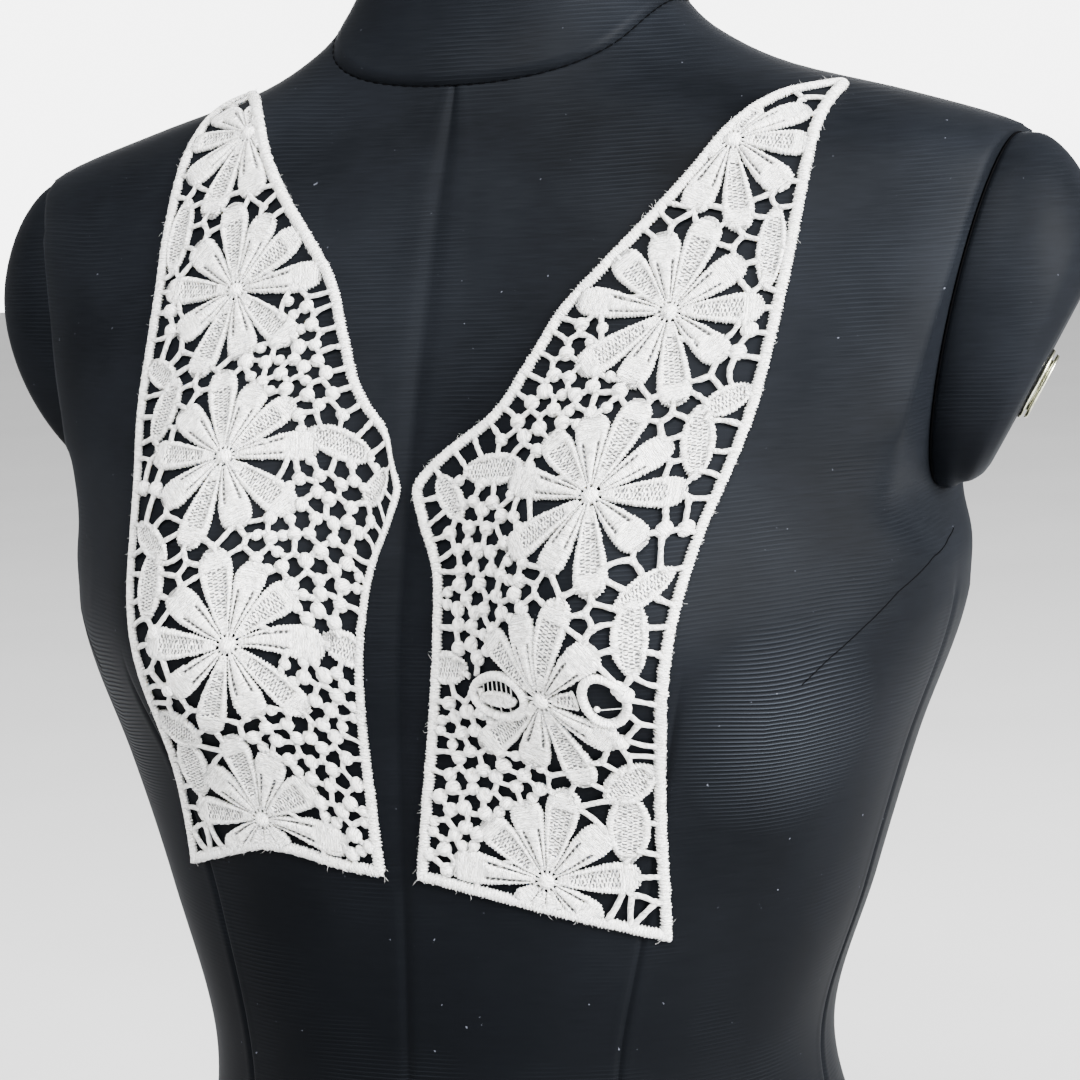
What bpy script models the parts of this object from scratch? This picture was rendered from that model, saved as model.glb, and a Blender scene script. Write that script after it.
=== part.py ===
# V-neck lace patch: two mirrored lace panels, cut through, resting on a dress form without limbs.
# Metres, +Z up. The form faces -Y, its own left side is +X, and it stands on z = 0.
import math

import bpy
import numpy as np
from mathutils import Vector
from mathutils.bvhtree import BVHTree
from mathutils.geometry import delaunay_2d_cdt

for obj in list(bpy.data.objects):
    bpy.data.objects.remove(obj, do_unlink=True)

# Gap between touching solids, and where the lace starts off the form
GAP = 0.0003
LACE_CLEARANCE = 0.00045
LEAST_CLEARANCE = 0.00025

# Base board
BASE_HEIGHT = 0.012
BASE_INSET = 0.006
BASE_EDGE = 0.002

# Sections of the form: height, half width, middle y, front depth, back depth, squareness
SECTIONS = np.array([
    (0.000, 0.168, 0.003, 0.107, 0.124, 2.2),
    (0.030, 0.167, 0.002, 0.108, 0.124, 2.2),
    (0.070, 0.157, 0.001, 0.109, 0.117, 2.2),
    (0.130, 0.131, -0.004, 0.104, 0.100, 2.2),
    (0.190, 0.117, -0.008, 0.102, 0.088, 2.2),
    (0.250, 0.135, -0.004, 0.102, 0.092, 2.2),
    (0.300, 0.151, -0.001, 0.102, 0.101, 2.3),
    (0.350, 0.170, 0.000, 0.096, 0.111, 2.4),
    (0.390, 0.175, 0.001, 0.086, 0.117, 2.4),
    (0.430, 0.184, 0.004, 0.077, 0.117, 2.4),
    (0.470, 0.193, 0.012, 0.069, 0.109, 2.4),
    (0.495, 0.199, 0.020, 0.067, 0.098, 2.3),
    (0.515, 0.193, 0.027, 0.064, 0.086, 2.2),
    (0.530, 0.149, 0.031, 0.061, 0.078, 2.1),
    (0.542, 0.106, 0.031, 0.056, 0.071, 2.0),
    (0.555, 0.079, 0.031, 0.052, 0.067, 2.0),
    (0.575, 0.060, 0.031, 0.050, 0.062, 2.0),
    (0.625, 0.056, 0.030, 0.052, 0.060, 2.0),
])
BUST_ACROSS = 0.083
BUST_HEIGHT = 0.358
BUST_RISE = 0.034
BUST_WIDTH = 0.050
BUST_UPPER = 0.075
BUST_LOWER = 0.048

# Neck seam, a ring that dips at the front, and the top of the neck
NECK_SEAM = 0.567
NECK_DIP = 0.027
NECK_TOP = 0.618
NECK_EDGE = 0.006

# Flat side where an arm cap sits: a leaning plane that ends above the armpit, and the cap's oval on it
SIDE_PLANE_X = 0.1865
SIDE_PLANE_HEIGHT = 0.497
SIDE_LEAN = math.radians(14.5)
SIDE_PLANE_LOW = 0.386
SIDE_LEDGE = 1.4
CAP_HEIGHT = 0.451
CAP_MIDDLE_Y = 0.028
# Rings of an arm cap: distance out, drop, tilt in degrees, half height, half depth
CAP_RINGS = [
    (0.0003, 0.000, 14.5, 0.0645, 0.0410),
    (0.0060, 0.001, 17.0, 0.0640, 0.0415),
    (0.0110, 0.005, 21.5, 0.0590, 0.0400),
    (0.0150, 0.011, 26.0, 0.0520, 0.0365),
    (0.0170, 0.016, 29.0, 0.0450, 0.0320),
    (0.0175, 0.018, 30.0, 0.0395, 0.0275),
]
# Oval metal plate on the end of each arm cap: two layers, half height, half depth, thickness
PLATE_LAYERS = [(0.0170, 0.0120, 0.0016), (0.0135, 0.0090, 0.0014)]

# Lace panel, flat sizes in millimetres: height, inner edge and outer edge from the middle line
PANEL_EDGES = np.array([
    (30, 6.0, 94.5), (60, 9.5, 95.5), (90, 13.5, 102.5), (118, 16.0, 112.0), (143, 14.0, 117.0),
    (163, 5.5, 120.5), (174, 3.0, 123.0), (187, 13.5, 125.5), (201, 31.0, 127.5), (222, 43.5, 129.5),
    (244, 54.5, 131.5), (260, 67.5, 133.0), (275, 80.5, 134.0), (292, 93.0, 135.0), (312, 104.5, 136.0),
    (332, 117.5, 137.0), (345, 127.5, 137.5), (353, 132.0, 137.0),
])
BOTTOM_SLOPE = 23.0
BORDER_WIDTH = 2.9
BAR_WIDTH = 1.3
PETAL_HALF_WIDTH = 6.9
BUTTON_RADIUS = 3.4
BALL_RADIUS = 3.1
OPEN_PITCH = 8.2
BEAD_PITCH = 6.5
# Flowers: distance from the middle line, height
FLOWERS = [(107, 304), (93, 239), (78, 172), (64, 102), (53, 31)]
# Petals of a flower: direction in degrees, length, and 1 for a ladder-filled petal
PETALS = [
    (170, 34.0, 0), (133, 30.0, 1), (101, 30.0, 0), (73, 36.0, 1), (39, 29.5, 0),
    (1, 32.0, 1), (-41, 28.0, 0), (-79, 36.0, 1), (-112, 30.0, 0), (-144, 36.0, 1),
]
# Leaves: middle, direction, length, width
LEAVES = [
    (125, 262, 89, 33, 9.5), (117, 205, 30, 19, 10.0), (110, 190, 98, 28, 11.0),
    (102, 139, 33, 23, 9.5), (98, 123, 87, 27, 12.0), (85, 67, 37, 23, 13.0),
    (82.5, 50, 84, 27, 14.0), (37, 181, 6, 27, 11.5), (19, 170, -57, 21, 9.5),
    (23, 110, 4, 18, 11.0),
]
BALLS = [(118, 223), (105, 159), (112.5, 159), (86, 85), (92, 106), (121, 231)]

# Thickness of the lace wall and how far its raised parts stand out, in millimetres
WALL = 1.2
PETAL_RISE = 1.2
BUTTON_RISE = 1.7
BALL_RISE = 1.4
# Gaps cut through: least width, and the most in one panel
LEAST_GAP = 4.0
MOST_GAPS = 140
GAP_POINTS = 8
OUTLINE_POINTS = 96
FIELD_STEP = 0.6

# How the second panel lies: turned in towards the middle and lifted at its outer side
LEAN_IN = 0.085
LEAN_FROM = 50.0
LIFT = 19.0
LIFT_FADE = 0.0014

# Guide for the lace: rays leave this line, level over the chest and turning over the shoulder
GUIDE_Y = 0.030
GUIDE_Z = 0.475
GUIDE_RADIUS = 0.075
GUIDE_LOW = 0.140
GUIDE_HIGH = 0.680
GUIDE_ACROSS = 0.095
GUIDE_CHEST = 0.430
PATTERN_ZERO = 0.100


def eased(height, column):
    # Smooth curve through one column of the sections
    rows = SECTIONS[:, 0]
    values = SECTIONS[:, column]
    height = np.clip(np.asarray(height, float), rows[0], rows[-1])
    gap = np.diff(rows)
    rise = np.diff(values) / gap
    slope = np.empty(len(values))
    slope[0] = rise[0]
    slope[-1] = rise[-1]
    slope[1:-1] = (rise[:-1] * gap[1:] + rise[1:] * gap[:-1]) / (gap[:-1] + gap[1:])
    k = np.clip(np.searchsorted(rows, height, side="right") - 1, 0, len(rows) - 2)
    h = gap[k]
    t = (height - rows[k]) / h
    start = (1 + 2 * t) * (1 - t) ** 2 * values[k] + t * (1 - t) ** 2 * h * slope[k]
    end = t * t * (3 - 2 * t) * values[k + 1] - t * t * (1 - t) * h * slope[k + 1]
    return start + end


def bust(x, z):
    spread = np.where(z > BUST_HEIGHT, BUST_UPPER, BUST_LOWER)
    away = ((np.abs(x) - BUST_ACROSS) / BUST_WIDTH) ** 2 + ((z - BUST_HEIGHT) / spread) ** 2
    return BUST_RISE * np.exp(-away)


def side_plane(z):
    plane = SIDE_PLANE_X + (z - SIDE_PLANE_HEIGHT) * math.tan(SIDE_LEAN)
    return plane + np.clip(SIDE_PLANE_LOW - z, 0, None) * SIDE_LEDGE


def inside_form(points):
    x = points[..., 0]
    y = points[..., 1]
    z = points[..., 2]
    half = eased(z, 1)
    middle = eased(z, 2)
    power = eased(z, 5)
    left = np.clip(1 - (np.abs(x) / half) ** power, 0, 1)
    front = middle - eased(z, 3) * left ** (1 / power) - bust(x, z) * left ** 0.4
    back = middle + eased(z, 4) * left ** (1 / power)
    return (np.abs(x) < half) & (np.abs(x) < side_plane(z)) & (y > front) & (y < back)


def form_point(z, angle):
    # Point of the form's surface; the angle runs from +X through +Y (the back)
    z, angle = np.broadcast_arrays(np.asarray(z, float), np.asarray(angle, float))
    power = eased(z, 5)
    c = np.cos(angle)
    s = np.sin(angle)
    x = eased(z, 1) * np.sign(c) * np.abs(c) ** (2 / power)
    x = np.clip(x, -side_plane(z), side_plane(z))
    depth = np.where(s < 0, eased(z, 3), eased(z, 4))
    y = eased(z, 2) + depth * np.sign(s) * np.abs(s) ** (2 / power)
    y = y - np.where(s < 0, bust(x, z) * np.abs(s) ** 0.8, 0)
    return np.stack([x, y, z], -1)


def make_mesh(name, points, faces, colour, roughness, metallic=0.0, smooth=True, weave=0.0):
    mesh = bpy.data.meshes.new(name)
    mesh.from_pydata([tuple(map(float, p)) for p in points], [], faces)
    mesh.update()
    obj = bpy.data.objects.new(name, mesh)
    bpy.context.scene.collection.objects.link(obj)
    for polygon in mesh.polygons:
        polygon.use_smooth = smooth
    material = bpy.data.materials.new(name)
    material.use_nodes = True
    shader = material.node_tree.nodes["Principled BSDF"]
    shader.inputs["Base Color"].default_value = (*colour, 1)
    shader.inputs["Roughness"].default_value = roughness
    shader.inputs["Metallic"].default_value = metallic
    shader.inputs["Sheen Weight"].default_value = weave
    mesh.materials.append(material)
    return obj


def ring_faces(rows, columns):
    # Quads between rings, split along one diagonal, and a fan to a middle point at each end
    faces = []
    for i in range(rows - 1):
        for j in range(columns):
            k = (j + 1) % columns
            a, b, c, d = i * columns + j, i * columns + k, (i + 1) * columns + k, (i + 1) * columns + j
            faces.append((a, b, c))
            faces.append((a, c, d))
    low = rows * columns
    high = low + 1
    for j in range(columns):
        k = (j + 1) % columns
        faces.append((low, k, j))
        faces.append((high, (rows - 1) * columns + j, (rows - 1) * columns + k))
    return faces


def ring_solid(name, rings, low, high, *look):
    rings = np.array(rings)
    rows, columns = rings.shape[:2]
    points = np.vstack([rings.reshape(-1, 3), low, high])
    faces = ring_faces(rows, columns)
    a, b, c = (points[[face[k] for face in faces]] for k in range(3))
    if np.einsum("ij,ij->i", a, np.cross(b, c)).sum() < 0:
        faces = [face[::-1] for face in faces]
    return make_mesh(name, points, faces, *look)


def neck_lift(height):
    # Share of the neck seam's dip that a ring at this height takes
    return np.clip((height - 0.500) / (NECK_SEAM - 0.500), 0, 1) ** 2


def dip(angles):
    # The seam runs level round the back and dips at the front
    return NECK_DIP * np.clip(-np.sin(angles), 0, None) ** 2


def seam_ring(height, angles, lift=0.0):
    z = height - neck_lift(height) * dip(angles)
    ring = form_point(z, angles)
    ring[:, 2] += lift
    return ring


# Dress form torso: rings from the hips to the neck seam, closer where the lace lies
BLACK_CLOTH = (0.012, 0.013, 0.017)
COLUMNS = 52
angles = (np.arange(COLUMNS) + 0.5) * 2 * math.pi / COLUMNS
torso_low = BASE_HEIGHT + GAP
heights = [torso_low, 0.035, 0.070, 0.105, 0.140, 0.165, 0.190, 0.212, 0.232, 0.250, 0.266, 0.281, 0.295]
heights += [0.309, 0.322, 0.334, 0.346, 0.358, 0.372, 0.386, 0.399, 0.413, 0.428, 0.444, 0.459, 0.473]
heights += [0.485, 0.496, 0.506, 0.515, 0.522, 0.529, 0.536, 0.544, 0.553, 0.562, NECK_SEAM]
torso_rings = [seam_ring(h, angles) for h in heights]
torso = ring_solid(
    "form_torso", torso_rings, torso_rings[0].mean(axis=0), torso_rings[-1].mean(axis=0),
    BLACK_CLOTH, 0.75, 0.0, True, 0.4,
)

# Neck: from the dipping seam up to a level top with a rounded edge
neck_rings = [seam_ring(NECK_SEAM, angles, GAP)]
for share in (0.3, 0.65, 1.0):
    level = NECK_SEAM + (NECK_TOP - NECK_EDGE - NECK_SEAM) * share
    z = level - (1 - share) * dip(angles) + GAP
    neck_rings.append(form_point(z, angles))
neck_middle = np.array([0, neck_rings[-1][:, 1].mean(), 0])
for turn in (45, 90):
    inwards = NECK_EDGE * (1 - math.cos(math.radians(turn)))
    upwards = NECK_EDGE * math.sin(math.radians(turn))
    ring = form_point(np.full(COLUMNS, NECK_TOP - NECK_EDGE + GAP), angles)
    out = ring - neck_middle
    out[:, 2] = 0
    ring = ring - out / np.linalg.norm(out, axis=1)[:, None] * inwards
    ring[:, 2] += upwards
    neck_rings.append(ring)
neck_low = torso_rings[-1].mean(axis=0) + (0, 0, GAP)
ring_solid(
    "form_neck", neck_rings, neck_low, neck_rings[-1].mean(axis=0),
    BLACK_CLOTH, 0.75, 0.0, True, 0.4,
)

# Base board under the torso, with a small rounded edge
base_rings = []
for inset, height in ((BASE_EDGE, 0.0), (0.0, BASE_EDGE), (0.0, BASE_HEIGHT - BASE_EDGE), (BASE_EDGE, BASE_HEIGHT)):
    ring = form_point(np.full(COLUMNS, torso_low), angles)
    middle = ring.mean(axis=0)
    out = ring - middle
    out[:, 2] = 0
    length = np.linalg.norm(out, axis=1)[:, None]
    ring = ring - out / length * (BASE_INSET + inset)
    ring[:, 2] = height
    base_rings.append(ring)
ring_solid(
    "form_base", base_rings, base_rings[0].mean(axis=0), base_rings[-1].mean(axis=0),
    (0.020, 0.018, 0.016), 0.4,
)


def cap_frame(out, drop, tilt, side):
    # Middle, outward direction and upward direction of one ring of an arm cap
    z = CAP_HEIGHT - drop
    x = side_plane(CAP_HEIGHT) + out
    tilt = math.radians(tilt)
    middle = np.array([side * x, CAP_MIDDLE_Y, z])
    outward = np.array([side * math.cos(tilt), 0, -math.sin(tilt)])
    upward = np.array([side * math.sin(tilt), 0, math.cos(tilt)])
    return middle, outward, upward


def oval(middle, upward, high, deep, count):
    turn = np.arange(count) * 2 * math.pi / count
    across = np.array([0, 1, 0])
    return middle + high * np.cos(turn)[:, None] * upward + deep * np.sin(turn)[:, None] * across


# Arm caps and the oval metal plate on each
for side, word in ((1, "left"), (-1, "right")):
    rings = []
    for out, drop, tilt, high, deep in CAP_RINGS:
        middle, outward, upward = cap_frame(out, drop, tilt, side)
        rings.append(oval(middle, upward, high, deep, 24))
    first = cap_frame(*CAP_RINGS[0][:3], side)[0]
    last, outward, upward = cap_frame(*CAP_RINGS[-1][:3], side)
    ring_solid("form_arm_cap_" + word, rings, first, last, BLACK_CLOTH, 0.75, 0.0, True, 0.4)
    seat = GAP
    plate_rings = []
    for high, deep, thick in PLATE_LAYERS:
        for height in (seat, seat + thick):
            plate_rings.append(oval(last + outward * height, upward, high, deep, 24))
        seat += thick
    ring_solid(
        "form_arm_plate_" + word, plate_rings, last + outward * GAP, last + outward * seat,
        (0.55, 0.50, 0.38), 0.3, 1.0, False,
    )


def guide_hit(x, travel):
    # Where the ray of the guide at this travel meets the form, at this distance from the middle
    x, travel = np.broadcast_arrays(np.asarray(x, float), np.asarray(travel, float))
    angle = np.clip(travel - GUIDE_Z, 0, None) / GUIDE_RADIUS
    start = np.stack([x, np.full(x.shape, GUIDE_Y), np.minimum(travel, GUIDE_Z)], -1)
    ray = np.stack([np.zeros(x.shape), -np.cos(angle), np.sin(angle)], -1)
    near = np.zeros(x.shape)
    far = np.full(x.shape, 0.30)
    for _ in range(32):
        half = (near + far) / 2
        within = inside_form(start + ray * half[..., None])
        near = np.where(within, half, near)
        far = np.where(within, far, half)
    return start + ray * near[..., None], start, ray


# Lengths along the guide and across from the middle line, as tables to look up
travels = np.linspace(GUIDE_LOW, GUIDE_HIGH, 541)
meridian = guide_hit(GUIDE_ACROSS, travels)[0]
run = np.concatenate([[0], np.cumsum(np.linalg.norm(np.diff(meridian, axis=0), axis=1))])
RUNS = np.linspace(0, run[-1], 271)
RUN_TRAVELS = np.interp(RUNS, run, travels)
ACROSS = np.linspace(0, 0.176, 177)
spans = guide_hit(ACROSS[None, :], RUN_TRAVELS[:, None])[0]
steps = np.linalg.norm(np.diff(spans, axis=1), axis=2)
SPANS = np.concatenate([np.zeros((len(RUNS), 1)), np.cumsum(steps, axis=1)], axis=1)
# Over the shoulder the lengths go on from a line at this distance, so the neck doesn't stretch them
chest = int(np.searchsorted(RUN_TRAVELS, GUIDE_CHEST))
pivot = int(np.searchsorted(ACROSS, GUIDE_ACROSS))
SPANS[chest:] += (SPANS[chest, pivot] - SPANS[chest:, pivot])[:, None]


def across_of(length, along):
    # Distance from the middle plane of a point this far over the surface from the middle line
    place = np.clip(along / RUNS[-1] * (len(RUNS) - 1), 0, len(RUNS) - 1.001)
    row = place.astype(int)
    share = place - row
    out = np.empty(length.shape)
    for k in np.unique(row):
        at = row == k
        low = np.interp(length[at], SPANS[k], ACROSS)
        high = np.interp(length[at], SPANS[k + 1], ACROSS)
        out[at] = low * (1 - share[at]) + high * share[at]
    return out


def smooth_step(value):
    value = np.clip(value, 0, 1)
    return value * value * (3 - 2 * value)


def laid(points, side):
    # Flat panel sizes in millimetres to lengths over the form, in metres
    across = points[:, 0].copy()
    up = points[:, 1].copy()
    if side < 0:
        lift = LIFT * smooth_step(across / 60) * (1 - LIFT_FADE * (up - 31))
        across = across - LEAN_IN * (up - LEAN_FROM) * smooth_step(across / 25)
        up = up + lift
    return across / 1000, up / 1000 + PATTERN_ZERO


form_tree = BVHTree.FromPolygons(
    [tuple(v.co) for v in torso.data.vertices], [tuple(p.vertices) for p in torso.data.polygons]
)


def on_form(points, side):
    # Rest points and outward directions for flat panel points
    length, along = laid(points, side)

    def smooth_points(a, b):
        travel = np.interp(b, RUNS, RUN_TRAVELS)
        return guide_hit(across_of(a, b), travel)

    place, start, ray = smooth_points(length, along)
    small = 0.0015
    over = smooth_points(length + small, along)[0] - smooth_points(length - small, along)[0]
    rise = smooth_points(length, along + small)[0] - smooth_points(length, along - small)[0]
    normal = np.cross(over, rise)
    normal /= np.linalg.norm(normal, axis=1)[:, None]
    for k in range(len(place)):
        outside = start[k] + ray[k] * 0.4
        found = form_tree.ray_cast(Vector(outside), Vector(-ray[k]))[0]
        if found is not None and (np.array(found) - place[k]) @ ray[k] > 0:
            place[k] = np.array(found)
    place[:, 0] *= side
    normal[:, 0] *= side
    return place + normal * LACE_CLEARANCE, normal


def lifted_clear(place, normal, faces):
    # Moves points out until no triangle between them comes too near the faceted form
    shares = [(1 / 3, 1 / 3, 1 / 3), (0.5, 0.5, 0), (0, 0.5, 0.5), (0.5, 0, 0.5)]
    shares += [(0.75, 0.25, 0), (0.25, 0.75, 0), (0, 0.75, 0.25), (0, 0.25, 0.75), (0.75, 0, 0.25), (0.25, 0, 0.75)]
    shares += [(0.6, 0.2, 0.2), (0.2, 0.6, 0.2), (0.2, 0.2, 0.6), (1, 0, 0), (0, 1, 0), (0, 0, 1)]
    for _ in range(12):
        move = np.zeros(len(place))
        for face in faces:
            corners = place[face]
            short = 0.0
            for share in shares:
                spot = Vector(np.array(share) @ corners)
                found, out, _, away = form_tree.find_nearest(spot)
                away = away if (spot - found).dot(out) > 0 else -away
                short = max(short, LEAST_CLEARANCE - away)
            if short > 0:
                move[face] = np.maximum(move[face], short)
        if move.max() == 0:
            break
        place = place + normal * (move * 1.05 + np.where(move > 0, 0.00002, 0))[:, None]
    return place


def edge_curve(column, count):
    rows = PANEL_EDGES[:, 0]
    values = PANEL_EDGES[:, column]
    gap = np.diff(rows)
    rise = np.diff(values) / gap
    inner = (rise[:-1] * gap[1:] + rise[1:] * gap[:-1]) / (gap[:-1] + gap[1:])
    slope = np.concatenate([[rise[0]], inner, [rise[-1]]])
    up = np.linspace(rows[0], rows[-1], count)
    k = np.clip(np.searchsorted(rows, up, side="right") - 1, 0, len(rows) - 2)
    h = gap[k]
    t = (up - rows[k]) / h
    start = (1 + 2 * t) * (1 - t) ** 2 * values[k] + t * (1 - t) ** 2 * h * slope[k]
    end = t * t * (3 - 2 * t) * values[k + 1] - t * t * (1 - t) * h * slope[k + 1]
    return np.column_stack([start + end, up])


def bottom_edge(across):
    low, inner, outer = PANEL_EDGES[0]
    return low - BOTTOM_SLOPE * np.clip((across - inner) / (outer - inner), 0, 1) ** 1.15


def panel_outline():
    low, inner_low, outer_low = PANEL_EDGES[0]
    inner = edge_curve(1, 130)
    outer = edge_curve(2, 130)
    pull = np.clip(1 - (outer[:, 1] - low) / 45, 0, 1) ** 1.5
    outer[:, 1] -= pull * BOTTOM_SLOPE
    across = np.linspace(outer_low, inner_low, 60)[1:-1]
    bottom = np.column_stack([across, bottom_edge(across)])
    tip = np.array([(133.3, 355.0), (135.7, 355.0)])
    return np.vstack([inner, tip, outer[::-1], bottom])


def distance_inside(loop, x, y):
    # Distance to a closed loop, positive inside it
    best = np.full(x.shape, 1e9)
    within = np.zeros(x.shape, bool)
    for (x0, y0), (x1, y1) in zip(loop, np.roll(loop, -1, axis=0)):
        dx = x1 - x0
        dy = y1 - y0
        t = np.clip(((x - x0) * dx + (y - y0) * dy) / (dx * dx + dy * dy + 1e-12), 0, 1)
        best = np.minimum(best, (x - x0 - t * dx) ** 2 + (y - y0 - t * dy) ** 2)
        if y1 != y0:
            crosses = ((y0 > y) != (y1 > y)) & (x < dx * (y - y0) / dy + x0)
            within ^= crosses
    return np.where(within, 1, -1) * np.sqrt(best)


def turned(x, y, middle_x, middle_y, degrees):
    c = math.cos(math.radians(degrees))
    s = math.sin(math.radians(degrees))
    dx = x - middle_x
    dy = y - middle_y
    return dx * c + dy * s, dy * c - dx * s


def petal_field(along, side, length):
    t = np.clip(along / length, 0, 1)
    half = PETAL_HALF_WIDTH * 1.2 * t ** 0.62 * np.clip(1 - t ** 2.6, 0, 1) ** 0.62
    past = np.maximum(-along, along - length)
    return np.where(past > 0, -np.hypot(past, side), (half - np.abs(side)) * 0.9)


def leaf_field(along, side, length, width):
    t = np.clip(np.abs(along) / (length / 2), 0, 1)
    half = width / 2 * (1 - t ** 1.9) ** 0.85
    past = np.abs(along) - length / 2
    return np.where(past > 0, -np.hypot(past, side), (half - np.abs(side)) * 0.9)


def motif_field(x, y):
    # Distance inside the nearest flower, leaf or ball
    field = np.full(x.shape, -50.0)
    for flower_x, flower_y in FLOWERS:
        near = np.hypot(x - flower_x, y - flower_y) < 48
        one = BUTTON_RADIUS - np.hypot(x[near] - flower_x, y[near] - flower_y)
        for direction, length, _ in PETALS:
            along, side = turned(x[near], y[near], flower_x, flower_y, direction)
            one = np.maximum(one, petal_field(along, side, length))
        field[near] = np.maximum(field[near], one)
    for leaf_x, leaf_y, direction, length, width in LEAVES:
        along, side = turned(x, y, leaf_x, leaf_y, direction)
        field = np.maximum(field, leaf_field(along, side, length, width))
    for ball_x, ball_y in BALLS:
        field = np.maximum(field, BALL_RADIUS - np.hypot(x - ball_x, y - ball_y))
    return field


def in_bead_ground(x, y):
    depth = x - np.interp(y, PANEL_EDGES[:, 0], PANEL_EDGES[:, 1])
    return (y < 240) & (depth < 46) & (y < 162 + 90 * (depth > 12))


def place_gaps(rim, motif, x, y):
    # Middles of the gaps, spread evenly over the ground between the motifs
    random = np.random.default_rng(11)
    free = (rim > BORDER_WIDTH + 0.3) & (motif < -0.3)
    x = x[free]
    y = y[free]
    room = np.clip(np.minimum(rim[free] - BORDER_WIDTH, -motif[free]), 0, 4)
    pitch = np.where(in_bead_ground(x, y), BEAD_PITCH, OPEN_PITCH)
    order = np.argsort(random.random(len(x)) - 0.25 * room)
    chosen = []
    for k in order:
        clear = True
        for other_x, other_y, other_pitch in chosen:
            least = 0.5 * (pitch[k] + other_pitch)
            if (x[k] - other_x) ** 2 + (y[k] - other_y) ** 2 < least * least:
                clear = False
                break
        if clear:
            chosen.append((x[k], y[k], pitch[k]))
    middles = np.array(chosen)[:, :2]
    for _ in range(5):
        away = (x[:, None] - middles[None, :, 0]) ** 2 + (y[:, None] - middles[None, :, 1]) ** 2
        owner = away.argmin(axis=1)
        for k in range(len(middles)):
            own = owner == k
            if own.any():
                middles[k] = np.average(np.column_stack([x[own], y[own]]), axis=0, weights=1 + room[own])
    return middles


def ground_fields(x, y, middles):
    # Distance to the bars between gaps, and to the knots where bars meet
    flat_x = x.ravel()
    flat_y = y.ravel()
    edge = np.empty(len(flat_x))
    knot = np.empty(len(flat_x))
    for first in range(0, len(flat_x), 20000):
        part = slice(first, first + 20000)
        away = np.hypot(flat_x[part, None] - middles[None, :, 0], flat_y[part, None] - middles[None, :, 1])
        order = np.argsort(away, axis=1)[:, :3]
        near = np.take_along_axis(away, order, 1)
        second = np.hypot(*(middles[order[:, 0]] - middles[order[:, 1]]).T)
        third = np.hypot(*(middles[order[:, 0]] - middles[order[:, 2]]).T)
        to_second = (near[:, 1] ** 2 - near[:, 0] ** 2) / (2 * second)
        to_third = (near[:, 2] ** 2 - near[:, 0] ** 2) / (2 * third)
        edge[part] = to_second
        knot[part] = np.hypot(to_second, to_third)
    return edge.reshape(x.shape), knot.reshape(x.shape)


def blend(a, b, width):
    h = np.clip(0.5 + 0.5 * (a - b) / width, 0, 1)
    return b * (1 - h) + a * h + width * h * (1 - h)


def lace_field(x, y, rim, motif, middles):
    # Positive where there is thread
    edge, knot = ground_fields(x, y, middles)
    knots = np.where(in_bead_ground(x, y), 1.9, 1.35) - knot
    ground = blend(BAR_WIDTH / 2 - edge, knots, 0.8)
    cover = blend(BORDER_WIDTH - rim, blend(ground, motif, 0.9), 0.9)
    return np.minimum(cover, rim)


def contours(field, xs, ys):
    # Closed loops where the field crosses zero
    rows, columns = field.shape
    positive = field > 0
    links = {}

    def crossing(i0, j0, i1, j1):
        share = field[i0, j0] / (field[i0, j0] - field[i1, j1])
        x = xs[j0] + (xs[j1] - xs[j0]) * share
        y = ys[i0] + (ys[i1] - ys[i0]) * share
        return x, y

    changes = (positive[:-1, :-1] != positive[1:, :-1]) | (positive[:-1, :-1] != positive[:-1, 1:])
    changes |= positive[:-1, :-1] != positive[1:, 1:]
    places = {}
    for i, j in np.argwhere(changes):
        corners = ((i, j), (i, j + 1), (i + 1, j + 1), (i + 1, j))
        enters = []
        leaves = []
        for k in range(4):
            a = corners[k]
            b = corners[(k + 1) % 4]
            if positive[a] != positive[b]:
                key = (min(a, b), max(a, b))
                if key not in places:
                    places[key] = crossing(*a, *b)
                (enters if positive[b] else leaves).append(key)
        for start, end in zip(leaves, enters if len(enters) == 1 else enters[1:] + enters[:1]):
            links[start] = end
    loops = []
    while links:
        start, following = links.popitem()
        loop = [start]
        while following != start:
            loop.append(following)
            following = links.pop(following)
        loops.append(np.array([places[key] for key in loop]))
    return loops


def simpler(loop, count):
    # Drops the point that changes the loop least, until this many are left
    points = [tuple(p) for p in loop]
    while len(points) > count:
        p = np.array(points)
        a = np.roll(p, 1, axis=0)
        b = np.roll(p, -1, axis=0)
        area = np.abs((a[:, 0] - p[:, 0]) * (b[:, 1] - p[:, 1]) - (a[:, 1] - p[:, 1]) * (b[:, 0] - p[:, 0]))
        points.pop(int(area.argmin()))
    return np.array(points)


def within_loop(loop, x, y):
    within = np.zeros(x.shape, bool)
    for (x0, y0), (x1, y1) in zip(loop, np.roll(loop, -1, axis=0)):
        if y1 != y0:
            within ^= ((y0 > y) != (y1 > y)) & (x < (x1 - x0) * (y - y0) / (y1 - y0) + x0)
    return within


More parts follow.
